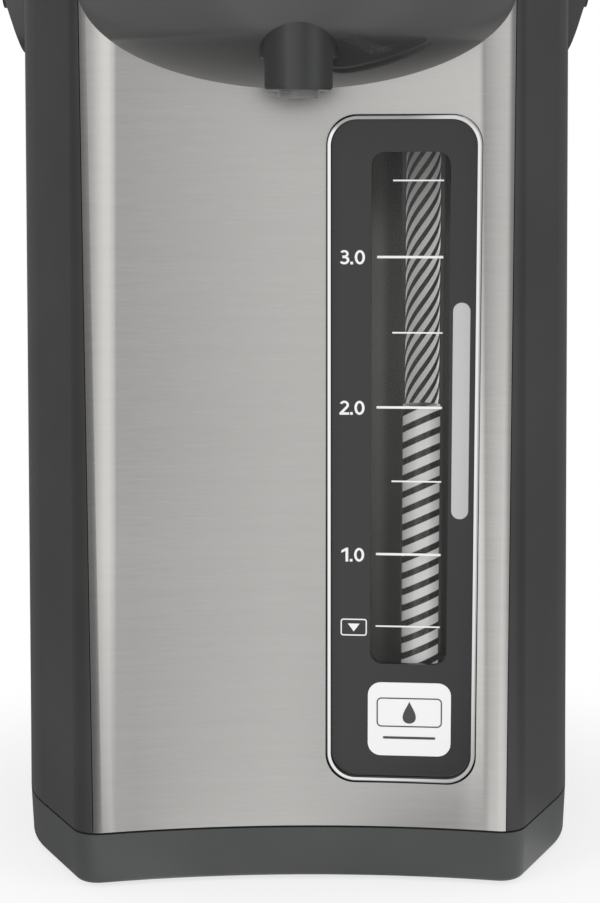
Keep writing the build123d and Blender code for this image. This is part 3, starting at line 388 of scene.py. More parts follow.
materials["smoked_pane"] = clear("smoked_pane", grey(0.02), 0.10)
materials["clear_plastic"] = clear("clear_nozzle", grey(0.22), 0.5, shine=0.05)
materials["display_pane"] = clear("display_pane", grey(0.10), 0.18)
print("with the clear ones:", len(materials))

# %% [markdown]
# ## The gauge's own directions
# The gauge follows the hollow front, so it is turned a few degrees about the vertical. Everything printed
# on it is made flat, x across and y up, and carried onto the face by one matrix.

# %% The gauge's face
gauge_turn = math.radians(5.5)
gauge_x = 33.0 * MM
gauge_low, gauge_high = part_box("gauge_plate")
plate_thickness = 1.6 * MM
turn_cos = math.cos(gauge_turn)
turn_sin = math.sin(gauge_turn)
plate_middle_y = (gauge_low.y + gauge_high.y - plate_thickness * turn_cos) / 2
half_litre_z = 85.0 * MM
litre = 47.6 * MM
filled_litres = 2.0
water_level = half_litre_z + (filled_litres - 0.5) * litre

on_gauge = Matrix((
    (turn_cos, 0.0, -turn_sin, gauge_x),
    (-turn_sin, 0.0, -turn_cos, plate_middle_y),
    (0.0, 1.0, 0.0, 0.0),
    (0.0, 0.0, 0.0, 1.0),
))
tube_low, tube_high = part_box("sight_tube")
tube_wall = 1.0 * MM
tube_x = (tube_low.x + tube_high.x) / 2
tube_y = (tube_low.y + tube_high.y) / 2
tube_bore = (tube_high.x - tube_low.x) / 2 - tube_wall


def along_face(x, y, origin=(gauge_x, plate_middle_y)):
    """How far a point lies to the right of an origin, measured along the gauge's face."""
    return (x - origin[0]) * turn_cos - (y - origin[1]) * turn_sin


print("gauge face at y", round(plate_middle_y, 5), "tube at", round(tube_x, 5), round(tube_y, 5))

# %% [markdown]
# ## The slanting stripes
# A card with slanting stripes stands behind the sight tube. Through the empty part of the tube they look
# like the threads of a rope, bent at both edges. Through the water, which works as a lens, they fill the
# whole tube and look wider, flatter and straight. That jump is what lets one read the level across a
# kitchen. The first kind is painted on the card. The second is painted on the glass below the water
# level, where the lens puts it, and follows a flat card, not the round glass. Both kinds glow as painted
# light, with painted shade towards the left edge of the tube; the card also has painted shade at the top.


# %% Stripes
def stripes(finish, bend, slant, half_width, dark_share, light):
    """Colour of light and dark stripes that climb to the right, the place across the tube, and z."""
    x, y, z = finish.axes()
    sideways = along_face(x, y, (tube_x, tube_y))
    share = sideways / half_width
    if bend:
        climb = share.least(bend_limit).most(-bend_limit).math("ARCSINE") * slant
    else:
        behind = (x - tube_x) * turn_sin + (y - tube_y) * turn_cos
        climb = sideways * slant - behind * flat_view
    phase = ((z - climb) / stripe_pitch + whole_stripes).wave()
    stripe = phase.smooth(0.0, stripe_edge) * (1.0 - phase.smooth(dark_share, dark_share + stripe_edge))
    # Painted shade: the stripes darken towards the left side of the tube.
    shade = (share * 0.5 + 0.5).smooth(-0.5, 1.1) * (1.0 - left_shade) + left_shade
    return finish.blend(stripe, finish.scaled(light, shade), gap_grey), share, z


def striped_card_painted_glow():
    """The card: stripes behind the tube that glow as painted light, with painted shade at the top, and a
    dark ground beside it.
    """
    # Painted light: the card glows, and painted shade darkens it towards the top.
    finish = Finish("striped_card_painted_glow", Roughness=0.45, Emission_Strength=0.65)
    column, share, z = stripes(finish, bend=True, slant=7.7 * MM, half_width=5.5 * MM, dark_share=0.46,
                               light=grey(0.95, 0.02, -0.03))
    dimmed = finish.blend(z.smooth(*painted_shade_heights) * painted_shade_share, column, gap_grey)
    seen_colour = finish.blend(share.size() > 1.0, dimmed, grey(0.035))
    return finish.feed("Base Color", seen_colour).feed("Emission Color", seen_colour).material


def sight_glass_painted_glow():
    """The tube: clear above the water level, stripes as the water shows them below it, glowing as painted
    light.
    """
    # Painted light: the stripes below the water glow.
    finish = Finish("sight_glass_painted_glow", Specular_IOR_Level=0.6, Roughness=0.06, Emission_Strength=0.45)
    column, _, z = stripes(finish, bend=False, slant=0.46, half_width=6.1 * MM, dark_share=0.41,
                           light=grey(0.64, 0.01, -0.02))
    under = z < water_level
    finish.feed("Base Color", finish.blend(under, grey(0.25), column))
    finish.feed("Emission Color", finish.blend(under, grey(0.0), column))
    return finish.feed("Alpha", under * (1.0 - glass_cover) + glass_cover).material


stripe_pitch = 5.35 * MM
stripe_edge = 0.045
whole_stripes = 100.0
bend_limit = 0.999
flat_view = 0.16
left_shade = 0.45
gap_grey = grey(0.03)
glass_cover = 0.06
painted_shade_heights = (205 * MM, 240 * MM)
painted_shade_share = 0.72
materials["white_card"] = striped_card_painted_glow()
materials["clear_glass"] = sight_glass_painted_glow()
materials["gauge_print"] = polished("printed_plate", grey(0.022, 0.0, 0.01), shine=0.22, swell=0.00001)
print("stripes per litre:", round(litre / stripe_pitch, 2), "water up to", round(water_level, 4))

# %% [markdown]
# ## The bright rim and the channel
# The rim is polished, and its reflections are painted into its colour: its outer slope has a painted dark
# reflection of the seam on the left, paler to the right, and the inner slope a painted highlight as a fine
# white line, with painted shade along the top. The distance from the rim's outer edge tells the two apart.
# The channel behind the window is dull black, with painted light: it is paler along its left side, has
# painted shade towards the foot and right under the head, and glows faintly.


# %% Rim and channel
def rim_painted_reflections():
    """Polished rim with painted reflections: outer slope painted dark on the left and paler on the right,
    inner slope a painted highlight, with painted shade along the top.
    """
    finish = Finish("bright_rim", Metallic=1.0, Roughness=0.12)
    x, y, z = finish.axes()
    sideways = along_face(x, y)
    past_side = sideways.size() - (rim_half_width - rim_corner)
    past_end = (z - rim_middle).size() - (rim_half_height - rim_corner)
    round_part = (past_side.most(0.0) * past_side.most(0.0) + past_end.most(0.0) * past_end.most(0.0))
    inwards = rim_corner - round_part.math("SQRT") - past_side.most(past_end).least(0.0)
    # Painted shade along the top, a painted highlight on the inner slope and a painted reflection on the
    # outer slope.
    head_shade = (z - rim_high.z).smooth(*head_shade_reach) * head_shade_share
    slope = inwards.smooth(*painted_highlight_reach) * (1.0 - head_shade)
    outer = finish.blend(sideways.smooth(0.0, right_half), grey(0.16), grey(0.62))
    return finish.feed("Base Color", finish.blend(slope, outer, grey(0.86))).material


def channel_with_painted_light():
    """Dull channel with painted light: paler along its left side, painted shade towards both ends, and a
    faint glow.
    """
    finish = Finish("channel_painted_light_and_glow", Roughness=0.7, Emission_Strength=0.3)
    x, y, z = finish.axes()
    # Painted light on the left side and painted shade at the foot and under the head; the colour also
    # glows.
    left = 1.0 - along_face(x, y).smooth(*painted_light_side)
    lit = (z.smooth(*foot_fade) * 0.5 + foot_light) * (1.0 - z.smooth(*head_fade) * painted_shade_under_head)
    haze = finish.noise(30.0, 2.0, stretch=(1.0, 1.0, 0.2)) * 0.4 + 0.8
    tone = (left * painted_light_gain + channel_tone) * lit * haze
    colour = finish.node("ShaderNodeCombineColor", None, {0: tone, 1: tone, 2: tone * 0.93})
    return finish.feed("Base Color", colour).feed("Emission Color", colour).material


rim_low, rim_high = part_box("gauge_bezel")
rim_middle = (rim_low.z + rim_high.z) / 2
rim_half_height = (rim_high.z - rim_low.z) / 2
rim_half_width = 24.25 * MM
rim_corner = 9.6 * MM
painted_highlight_reach = (0.45 * MM, 0.75 * MM)
head_shade_reach = (-6.0 * MM, -2.8 * MM)
head_shade_share = 0.7
right_half = 15 * MM
channel_tone = 0.05
painted_light_gain = 0.06
painted_light_side = (-8.5 * MM, -4.5 * MM)
foot_fade = (60 * MM, 190 * MM)
foot_light = 0.6
head_fade = (205 * MM, 228 * MM)
painted_shade_under_head = 0.6
materials["bright_rim"] = rim_painted_reflections()
channel = channel_with_painted_light()
print("finishes:", len(materials) + 1)

# %% [markdown]
# ## Every solid gets its finish
# The record says which material slot each solid belongs to, so one loop dresses them all. Only the channel
# of the gauge has a finish of its own.

# %% Dress the solids
slot_of = {part["node"]: part["material_slot"] for part in record["subparts"]}
for name, solid in nodes.items():
    finish = channel if name == "gauge_trough" else materials[slot_of[name]]
    if not solid.material_slots:
        solid.data.materials.append(finish)
    for material_slot in solid.material_slots:
        material_slot.material = finish
print("dressed:", len(nodes))

# %% [markdown]
# ## Helpers for new pieces
# A new piece is a mesh whose place is in its own vertices. It rides on a body of the pot and carries its
# finish.


# %% Piece helpers
def keep(name, mesh, finish, body="body"):
    """Make a finished mesh a piece of the pot."""
    mesh.materials.clear()
    mesh.materials.append(finish)
    for face in mesh.polygons:
        face.use_smooth = False
        face.material_index = 0
    piece = bpy.data.objects.new(name, mesh)
    scene.collection.objects.link(piece)
    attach(piece, body)
    return piece


def joined(meshes):
    """Several meshes as one."""
    shape = bmesh.new()
    for mesh in meshes:
        shape.from_mesh(mesh)
        bpy.data.meshes.remove(mesh)
    whole = bpy.data.meshes.new("joined")
    shape.to_mesh(whole)
    shape.free()
    return whole


def moved(mesh, matrix):
    """The mesh carried to another place."""
    mesh.transform(matrix)
    return mesh


# %% [markdown]
# ## Print as thin sheets
# Print is a real sheet a tenth of a millimetre thick, so it has edges and an exact place. A filled curve
# makes one from any outline, with holes where a second outline lies inside the first.

# %% Thin sheets
ink = moulded("white_print", grey(0.86), 0.5, grain=0, drift=0.02)
pale_ink = moulded("pale_grey_print", grey(0.52), 0.45, grain=0, drift=0.03)
dark_ink = moulded("dark_print", grey(0.05), 0.5, grain=0)
ink_thickness = 0.12 * MM


def rounded_outline(width, height, corner, steps=6):
    """Points of a rounded rectangle round the origin, anticlockwise."""
    points = []
    quarters = ((1, 1, 0), (-1, 1, 90), (-1, -1, 180), (1, -1, 270))
    for side_x, side_y, start in quarters:
        centre = Vector((side_x * (width / 2 - corner), side_y * (height / 2 - corner)))
        for step in range(steps + 1):
            angle = math.radians(start + 90 * step / steps)
            points.append(centre + corner * Vector((math.cos(angle), math.sin(angle))))
    return points


def sheet_between(loops, low, high):
    """A flat sheet inside the first loop, with the other loops as holes, between two heights."""
    curve = bpy.data.curves.new("outline", "CURVE")
    curve.dimensions = "2D"
    curve.fill_mode = "BOTH"
    curve.extrude = (high - low) / 2
    for loop in loops:
        spline = curve.splines.new("POLY")
        spline.points.add(len(loop) - 1)
        spline.use_cyclic_u = True
        for point, corner in zip(spline.points, loop):
            point.co = (corner.x, corner.y, 0.0, 1.0)
    mesh = solidified(curve)
    mesh.transform(Matrix.Translation((0, 0, (low + high) / 2)))
    return mesh


def solidified(curve):
    """The mesh of a flat curve, closed and facing outwards."""
    carrier = bpy.data.objects.new("outline", curve)
    scene.collection.objects.link(carrier)
    settled = bpy.context.evaluated_depsgraph_get()
    mesh = bpy.data.meshes.new_from_object(carrier.evaluated_get(settled), depsgraph=settled)
    bpy.data.objects.remove(carrier)
    shape = bmesh.new()
    shape.from_mesh(mesh)
    bmesh.ops.remove_doubles(shape, verts=shape.verts, dist=1e-7)
    bmesh.ops.recalc_face_normals(shape, faces=shape.faces)
    shape.to_mesh(mesh)
    shape.free()
    return mesh


print("print is", round(ink_thickness / MM, 2), "mm thick")

# %% [markdown]
# ## Rules that repeat
# The litre marks, the ribs under the handle, the grip lines on the lever and the screws under the base
# all repeat by a rule. Geometry Nodes state that rule once, in a tree with named inputs. The result of a
# tree is turned into a plain mesh, because instances are lost in an export.


# %% Helpers for trees
def tree_builder(name, sockets):
    """An empty Geometry Nodes tree with named inputs."""
    tree = bpy.data.node_groups.new(name, "GeometryNodeTree")
    for label, kind in sockets:
        tree.interface.new_socket(label, in_out="INPUT", socket_type=kind)
    tree.interface.new_socket("Geometry", in_out="OUTPUT", socket_type="NodeSocketGeometry")
    return tree, tree.nodes.new("NodeGroupInput"), tree.nodes.new("NodeGroupOutput")


def wired(tree, kind, settings=None, **links):
    """Add a node to a tree; links map an input's name, or i and its number, to a value or a socket."""
    made = tree.nodes.new(kind)
    for key, value in (settings or {}).items():
        setattr(made, key, value)
    for key, value in links.items():
        index = int(key[1:]) if key[0] == "i" and key[1:].isdigit() else key.replace("_", " ")
        socket = made.inputs[index]
        if isinstance(value, bpy.types.NodeSocket):
            tree.links.new(value, socket)
        else:
            socket.default_value = value
    return made


def made_real(tree, given, result, copies):
    """End a tree: copies become plain faces with the finish that was given."""
    real = wired(tree, "GeometryNodeRealizeInstances", None, Geometry=copies.outputs[0])
    painted = wired(tree, "GeometryNodeSetMaterial", None, Geometry=real.outputs[0],
                    Material=given.outputs["Finish"])
    tree.links.new(painted.outputs[0], result.inputs[0])
    return tree


def grown(tree, values):
    """Run a tree with these inputs and return its result as a plain mesh."""
    carrier = bpy.data.objects.new("rule", bpy.data.meshes.new("rule"))
    scene.collection.objects.link(carrier)
    modifier = carrier.modifiers.new("rule", "NODES")
    modifier.node_group = tree
    for item in tree.interface.items_tree:
        if item.in_out == "INPUT" and item.name in values:
            modifier[item.identifier] = values[item.name]
    settled = bpy.context.evaluated_depsgraph_get()
    mesh = bpy.data.meshes.new_from_object(carrier.evaluated_get(settled), depsgraph=settled)
    bpy.data.objects.remove(carrier)
    return mesh


# %% [markdown]
# ## A row of bars
# The first tree puts a bar on each point of a row. Every second bar may be shorter and thinner, as on a
# ruler.


# %% A row of bars
def bar_row_tree():
    """Bars along a line; each second bar uses the minor size and shift."""
    tree, given, result = tree_builder("bar_row", (
        ("Count", "NodeSocketInt"), ("Start", "NodeSocketVector"), ("Step", "NodeSocketVector"),
        ("Major Size", "NodeSocketVector"), ("Minor Size", "NodeSocketVector"),
        ("Minor Shift", "NodeSocketVector"), ("Finish", "NodeSocketMaterial")))
    line = wired(tree, "GeometryNodeMeshLine", {"mode": "OFFSET"}, Count=given.outputs["Count"],
                 Start_Location=given.outputs["Start"], Offset=given.outputs["Step"])
    number = wired(tree, "GeometryNodeInputIndex")
    odd = wired(tree, "ShaderNodeMath", {"operation": "MODULO"}, i0=number.outputs[0], i1=2.0)
    shift = wired(tree, "ShaderNodeVectorMath", {"operation": "SCALE"}, i0=given.outputs["Minor Shift"],
                  Scale=odd.outputs[0])
    placed = wired(tree, "GeometryNodeSetPosition", None, Geometry=line.outputs[0], Offset=shift.outputs[0])
    size = wired(tree, "ShaderNodeMix", {"data_type": "VECTOR"}, i0=odd.outputs[0],
                 i4=given.outputs["Major Size"], i5=given.outputs["Minor Size"])
    bar = wired(tree, "GeometryNodeMeshCube", None, Size=(1.0, 1.0, 1.0))
    row = wired(tree, "GeometryNodeInstanceOnPoints", None, Points=placed.outputs[0],
                Instance=bar.outputs[0], Scale=size.outputs[1])
    return made_real(tree, given, result, row)


bar_row = bar_row_tree()
print("tree:", bar_row.name)

# %% [markdown]
# ## A ring of copies
# The second tree sets copies of a part evenly round a circle, as the screws of a cover sit.


# %% A ring of copies
def ring_tree():
    """Copies of an object, evenly round a circle."""
    tree, given, result = tree_builder("ring", (
        ("Count", "NodeSocketInt"), ("Radius", "NodeSocketFloat"), ("Turn", "NodeSocketFloat"),
        ("Part", "NodeSocketObject"), ("Finish", "NodeSocketMaterial")))
    circle = wired(tree, "GeometryNodeMeshCircle", None, Vertices=given.outputs["Count"],
                   Radius=given.outputs["Radius"])
    angle = wired(tree, "ShaderNodeCombineXYZ", None, Z=given.outputs["Turn"])
    turned = wired(tree, "GeometryNodeTransform", None, Geometry=circle.outputs[0],
                   Rotation=angle.outputs[0])
    part = wired(tree, "GeometryNodeObjectInfo", None, Object=given.outputs["Part"])
    copies = wired(tree, "GeometryNodeInstanceOnPoints", None, Points=turned.outputs[0],
                   Instance=part.outputs["Geometry"])
    return made_real(tree, given, result, copies)


ring = ring_tree()
print("tree:", ring.name)

# %% [markdown]
# ## Litre marks
# Seven white lines cross the window, one every half litre. Full litres are longer and bolder. The lowest
# is long but thin, because it is the refill line. They are printed on the front of the pane.

# %% Litre marks
tick_right = 12.35 * MM
tick_left = -8.4 * MM
short_left = -3.5 * MM
tick_bold = 0.78 * MM
tick_fine = 0.50 * MM
pane_face = -plate_thickness
tick_shift = (short_left - tick_left) / 2
marks = grown(bar_row, {
    "Count": 6,
    "Start": ((tick_left + tick_right) / 2, half_litre_z + litre / 2, pane_face),
    "Step": (0.0, litre / 2, 0.0),
    "Major Size": (tick_right - tick_left, tick_bold, ink_thickness),
    "Minor Size": (tick_right - short_left, tick_fine, ink_thickness),
    "Minor Shift": (tick_shift, 0.0, 0.0),
    "Finish": ink,
})
refill = grown(bar_row, {
    "Count": 1,
    "Start": ((tick_left + tick_right) / 2, half_litre_z, pane_face),
    "Major Size": (tick_right - tick_left, tick_fine, ink_thickness),
    "Finish": ink,
})
keep("litre_marks", moved(joined([marks, refill]), on_gauge), ink)
print("marks from", round(half_litre_z, 4), "to", round(half_litre_z + 3 * litre, 4))

# %% [markdown]
# ## Drawing with arcs and corners
# Figures and signs could come from a font, but each here is an outline of a few arcs and corners. That
# keeps them plain, and a drawing in its own units takes any size.


# %% Arcs and corners
def arc(centre, radii, start, end, steps=12):
    """Points of an elliptic arc between two angles in degrees."""
    turns = [math.radians(start + (end - start) * step / steps) for step in range(steps + 1)]
    return [Vector((centre[0] + radii[0] * math.cos(turn), centre[1] + radii[1] * math.sin(turn)))
            for turn in turns]


def oval(across, up, steps=24):
    """A whole ellipse round the origin, without a doubled last point."""
    return arc((0, 0), (across, up), 0, 360 - 360 / steps, steps - 1)


def corners(*places):
    """The corners of an outline as vectors."""
    return [Vector(place) for place in places]


def outlines(loops, size, low=0.0, high=ink_thickness, shift=(0.0, 0.0)):
    """A sheet from outlines drawn in units of a size."""
    sized = [[size * (corner + Vector(shift)) for corner in loop] for loop in loops]
    return sheet_between(sized, low, high)


print("points in a whole oval:", len(oval(1.0, 1.0)))

# %% [markdown]
# ## Numerals
# Plain numerals stand left of the full litres. They are drawn one unit high, so one size sets them all.


# %% Numerals
def on_plate(x, z):
    """Carries a flat mesh to a spot on the gauge's face."""
    return on_gauge @ Matrix.Translation((x, z, 0.0))


figures = {
    "point": [corners((-0.095, -0.5), (0.095, -0.5), (0.095, -0.31), (-0.095, -0.31))],
    0: [oval(0.36, 0.5), oval(0.18, 0.335)],
    1: [corners((0.1, -0.5), (0.29, -0.5), (0.29, 0.5), (0.13, 0.5), (-0.2, 0.3), (-0.2, 0.12),
                (0.1, 0.28))],
    2: [arc((0, 0.2), (0.33, 0.3), 160, -40)
        + corners((-0.06, -0.33), (0.34, -0.33), (0.34, -0.5), (-0.35, -0.5), (-0.35, -0.36))
        + arc((0, 0.2), (0.155, 0.14), -40, 160)],
    3: [arc((-0.02, 0.235), (0.31, 0.265), 150, -50) + arc((-0.02, -0.2), (0.36, 0.3), 50, -150)
        + arc((-0.02, -0.2), (0.175, 0.135), -150, 90) + corners((-0.15, -0.065), (-0.15, 0.12))
        + arc((-0.02, 0.235), (0.14, 0.115), -90, 150)],
}
numeral_height = 4.5 * MM
numeral_x = -16.1 * MM
first_shift, point_shift, last_shift = -0.54, -0.04, 0.53
numerals = []
for litres in (1, 2, 3):
    for figure, shift in ((litres, first_shift), ("point", point_shift), (0, last_shift)):
        sheet = outlines(figures[figure], numeral_height, shift=(shift, 0.0))
        numerals.append(moved(sheet, on_plate(numeral_x, half_litre_z + (litres - 0.5) * litre)))
print("sheets in the numerals:", len(numerals))
keep("litre_numerals", joined(numerals), ink)

# %% [markdown]
# ## Labels
# Below the window sits a white label with a framed drop and a rule, at the refill line a small framed
# arrow, and beside the window a pale grey pill. The label is a real sheet too, and its print lies on it.


# %% Labels
def drop_outline(height, steps=28):
    """A water drop: a round belly running up into a point."""
    points = []
    for step in range(steps):
        angle = 2 * math.pi * step / steps
        belly = math.sin(angle / 2) ** 1.6
        points.append(Vector((height * 0.42 * math.sin(angle) * belly, height * (0.5 * math.cos(angle)))))
    return list(reversed(points))


def frame_sheet(width, height, corner, low, high):
    """A thin rounded frame."""
    outer = rounded_outline(width, height, corner)
    inner = rounded_outline(width - 2 * frame_line, height - 2 * frame_line, corner - frame_line)
    return sheet_between([outer, inner], low, high)


frame_line = 0.4 * MM
pill_spot = (18.3 * MM, 155.4 * MM)
pill = sheet_between([rounded_outline(5.4 * MM, 69.0 * MM, corner=2.65 * MM)], 0, ink_thickness)
keep("grey_pill", moved(pill, on_plate(*pill_spot)), pale_ink)

label_spot = (2.7 * MM, 54.5 * MM)
label_top = 0.2 * MM
print_top = label_top + 0.06 * MM
label = sheet_between([rounded_outline(26.9 * MM, 24.5 * MM, corner=4.2 * MM)], 0, label_top)
keep("white_label", moved(label, on_plate(*label_spot)), ink)
label_frame = frame_sheet(21.2 * MM, 9.8 * MM, 1.6 * MM, label_top, print_top)
label_drop = sheet_between([drop_outline(7.4 * MM)], label_top, print_top)
label_rule = sheet_between([rounded_outline(17.0 * MM, 0.8 * MM, corner=0.35 * MM)], label_top, print_top)
frame_shift, rule_shift = 2.3 * MM, -6.2 * MM
label_print = joined([
    moved(label_frame, on_plate(label_spot[0], label_spot[1] + frame_shift)),
    moved(label_drop, on_plate(label_spot[0], label_spot[1] + frame_shift)),
    moved(label_rule, on_plate(label_spot[0], label_spot[1] + rule_shift)),
])
keep("label_print", label_print, dark_ink)

box_spot = (-15.4 * MM, half_litre_z - 0.1 * MM)
refill_box = frame_sheet(8.5 * MM, 5.6 * MM, 0.9 * MM, 0, ink_thickness)
refill_arrow = outlines([corners((-1.9, 1.2), (0, -1.4), (1.9, 1.2))], MM)
refill_sign = joined([moved(refill_box, on_plate(*box_spot)), moved(refill_arrow, on_plate(*box_spot))])
keep("refill_sign", refill_sign, ink)
print("print lies up to", round(print_top / MM, 2), "mm above the plate")

# %% [markdown]
# ## Water in the tube
# The tube is filled up to the two litre line. The water is a closed column with a hollow top, a hair
# thinner than the bore.


# %% Water in the tube
def column(radius, low, high, steps=48, meniscus=0.5 * MM):
    """A closed upright column with a slightly hollow top."""
    shape = bmesh.new()
    rings = []
    profile = ((radius, low), (radius, high), (radius * 0.8, high - meniscus * 0.8),
               (radius * 0.4, high - meniscus))
    for reach, height in profile:
        ring_points = []
        for step in range(steps):
            angle = 2 * math.pi * step / steps
            spot = (tube_x + reach * math.cos(angle), tube_y + reach * math.sin(angle), height)
            ring_points.append(shape.verts.new(spot))
        rings.append(ring_points)
    for lower, upper in zip(rings, rings[1:]):
        for step in range(steps):
            follow = (step + 1) % steps
            shape.faces.new((lower[step], lower[follow], upper[follow], upper[step]))
    shape.faces.new(reversed(rings[0]))
    shape.faces.new(rings[-1])
    mesh = bpy.data.meshes.new("column")
    shape.to_mesh(mesh)
    shape.free()
    return mesh


water_radius = tube_bore - 0.05 * MM
water_foot = tube_low.z + 0.5 * MM
water = column(water_radius, water_foot, water_level)
keep("water_in_tube", water, clear("water", grey(0.5), cover=0.3))
print("water", round(water_level - water_foot, 4), "high")

# %% [markdown]
# ## Signs on the control face
# Each key carries a plain sign: a drop, an open padlock, an arrow in a circle, a thermometer and a clock.
# A sign rides on its own key, so it goes down with it. The signs are outlines drawn in millimetres, and one
# matrix carries them onto the sloping face.

# %% Signs on the keys
face_slope = math.radians(22)
face_foot = (0.0, -134.95 * MM, 299.536 * MM)
on_face = Matrix.Translation(face_foot) @ Matrix.Rotation(face_slope, 4, "X")
key_lift = 0.9 * MM


def on_key(x, up, lift=key_lift):
    """Carries a flat mesh to a spot of the control face; x and up are in millimetres."""
    return on_face @ Matrix.Translation((x * MM, up * MM, lift))


shackle = (corners((2.1, 0.6)) + arc((0, 1.6), (2.1, 2.1), 0, 180) + corners((-2.1, 1.1), (-1.4, 1.1))
           + arc((0, 1.6), (1.4, 1.4), 180, 0) + corners((1.4, 0.6)))
lock_body = corners((-3, -3.6), (3, -3.6), (3, 0.6), (-3, 0.6))
circle_arrow = arc((0, 0), (3.6, 3.6), 100, 400, 24) + arc((0, 0), (2.8, 2.8), 400, 100, 24)
arrow_head = corners((-0.82, 4.63), (-0.29, 1.67), (1.81, 3.57))
thermometer = arc((0, 2.9), (0.9, 0.9), 0, 180) + arc((0, -2.3), (1.7, 1.7), 122, 418)
scale_marks = [corners((1.6, y), (2.9, y), (2.9, y + 0.5), (1.6, y + 0.5)) for y in (-0.4, 1.1, 2.6)]
clock_rim = [oval(3.6, 3.6, 36), oval(2.9, 2.9, 36)]
clock_hands = corners((-0.3, -0.3), (1.8, -0.3), (1.8, 0.3), (0.3, 0.3), (0.3, 2.2), (-0.3, 2.2))
signs = {
    "dispense_key": ((0, 16), [[drop_outline(8.0)]]),
    "unlock_key": ((-33, 28), [[shackle], [lock_body]]),
    "reboil_key": ((33, 28), [[circle_arrow], [arrow_head]]),
    "temperature_key": ((-43, 50), [[thermometer]] + [[mark] for mark in scale_marks]),
    "timer_key": ((43, 50), [clock_rim, [clock_hands]]),
}
for key, (spot, parts) in signs.items():
    sign = joined([outlines(loops, MM) for loops in parts])
    keep(key.replace("key", "sign"), moved(sign, on_key(*spot)), ink, body=key)
print("signs:", len(signs))

# %% [markdown]
# ## Lamps and display
# Two small amber lamps sit inwards of the padlock and the arrow. The display shows a temperature in bars,
# as such displays do. The bars lie on the display panel under the pane, so their height is measured from
# the panel itself.

# %% Lamps and display
lamp_glass = moulded("amber_lamp", (0.60, 0.24, 0.04, 1.0), 0.25, grain=0)
lamp_spot = (20.0, 28)
lamp_height = 0.25 * MM
lamps = []
for side in (-1, 1):
    lens = outlines([oval(1.1, 1.1)], MM, 0.0, lamp_height)
    lamps.append(moved(lens, on_key(side * lamp_spot[0], lamp_spot[1], 0.0)))
keep("key_lamps", joined(lamps), lamp_glass)

to_face = on_face.inverted()
panel = nodes["display_panel"]
panel_lift = max((to_face @ panel.matrix_world @ corner.co).z for corner in panel.data.vertices)
bar = corners((-2.0, 0), (-1.5, -0.5), (1.5, -0.5), (2.0, 0), (1.5, 0.5), (-1.5, 0.5))
upright = [Vector((-corner.y, corner.x)) for corner in bar]
step = 2.2
bars = (
    (bar, (0, 2 * step)), (bar, (0, 0)), (bar, (0, -2 * step)),
    (upright, (-step, step)), (upright, (step, step)), (upright, (step, -step)), (upright, (-step, -step)),
)
foot_left = 6
digit_up = 48
degree_spot = (8.6, 52)
lit_bars = []
for place, dark in ((-4.0, (foot_left,)), (4.0, ())):
    for number, (loop, shift) in enumerate(bars):
        if number not in dark:
            lit_bars.append(moved(outlines([loop], MM, shift=shift), on_key(place, digit_up, panel_lift)))
degree = outlines([oval(1.0, 1.0, 18), oval(0.55, 0.55, 18)], MM)
lit_bars.append(moved(degree, on_key(*degree_spot, panel_lift)))
print("display bars:", len(lit_bars), "at lift", round(panel_lift, 5))
keep("display_bars", joined(lit_bars), dark_ink)

# %% [markdown]
# ## Ribs and grip lines
# A row of ribs under the grip of the handle keeps wet fingers from slipping, and five ridges on the lever
# give the thumb a hold. The tree for rows makes both.

# %% Ribs and grip lines
rib_size = (1.1 * MM, 5.5 * MM, 0.8 * MM)
first_rib = (-33.0 * MM, 128.1 * MM, 285.8 * MM)
ribs = grown(bar_row, {
    "Count": 23,
    "Start": first_rib,
    "Step": (3.0 * MM, 0.0, 0.0),
    "Major Size": rib_size,
    "Minor Size": rib_size,
    "Finish": materials["handle_plastic"],
})
keep("handle_ribs", ribs, materials["handle_plastic"], body="handle")

ridge_size = (22.0 * MM, 0.9 * MM, 0.8 * MM)
first_ridge = (0.0, -49.0 * MM, 331.98 * MM)
ridges = grown(bar_row, {
    "Count": 5,
    "Start": first_ridge,
    "Step": (0.0, 2.2 * MM, 0.35 * MM),
    "Major Size": ridge_size,
    "Minor Size": ridge_size,
    "Finish": materials["lever_plastic"],
})
keep("lever_grip_lines", ridges, materials["lever_plastic"], body="lever")
print("faces of the ribs:", len(ribs.polygons), "of the ridges:", len(ridges.polygons))

# %% [markdown]
# ## Screws
# The bottom cover is held by four screws between the feet. One screw is drawn, a head with a cross sunk
# into it, and the tree for rings sets four of it.

# %% Screws
cross_arm, cross_width = 1.8, 0.35
cross = []
for quarter in range(4):
    turn = Matrix.Rotation(math.radians(90 * quarter), 2)
    cross += [turn @ spot for spot in corners((cross_arm, -cross_width), (cross_arm, cross_width),
                                              (cross_width, cross_width))]
head = oval(3.2, 3.2)
head_low, cross_top, head_top = 1.0 * MM, 1.6 * MM, 2.1 * MM
recessed = outlines([head, cross], MM, head_low, cross_top)
screw = joined([recessed, outlines([head], MM, cross_top, head_top)])
screw_object = bpy.data.objects.new("screw", screw)
scene.collection.objects.link(screw_object)
screws = grown(ring, {
    "Count": 4,
    "Radius": 80.0 * MM,
    "Turn": 0.0,
    "Part": screw_object,
    "Finish": materials["steel_small"],
})
bpy.data.objects.remove(screw_object)
to_base_middle = Matrix.Translation((0, 12.45 * MM, 0))
keep("base_screws", moved(screws, to_base_middle), materials["steel_small"])
print("faces of the screws:", len(screws.polygons))

# %% [markdown]
# ## The room
# The pot stands in a white room. It is bright where the camera, metal and glass look at it, and weaker
# where it only lights dull surfaces, so that the dark plastics keep their tone.

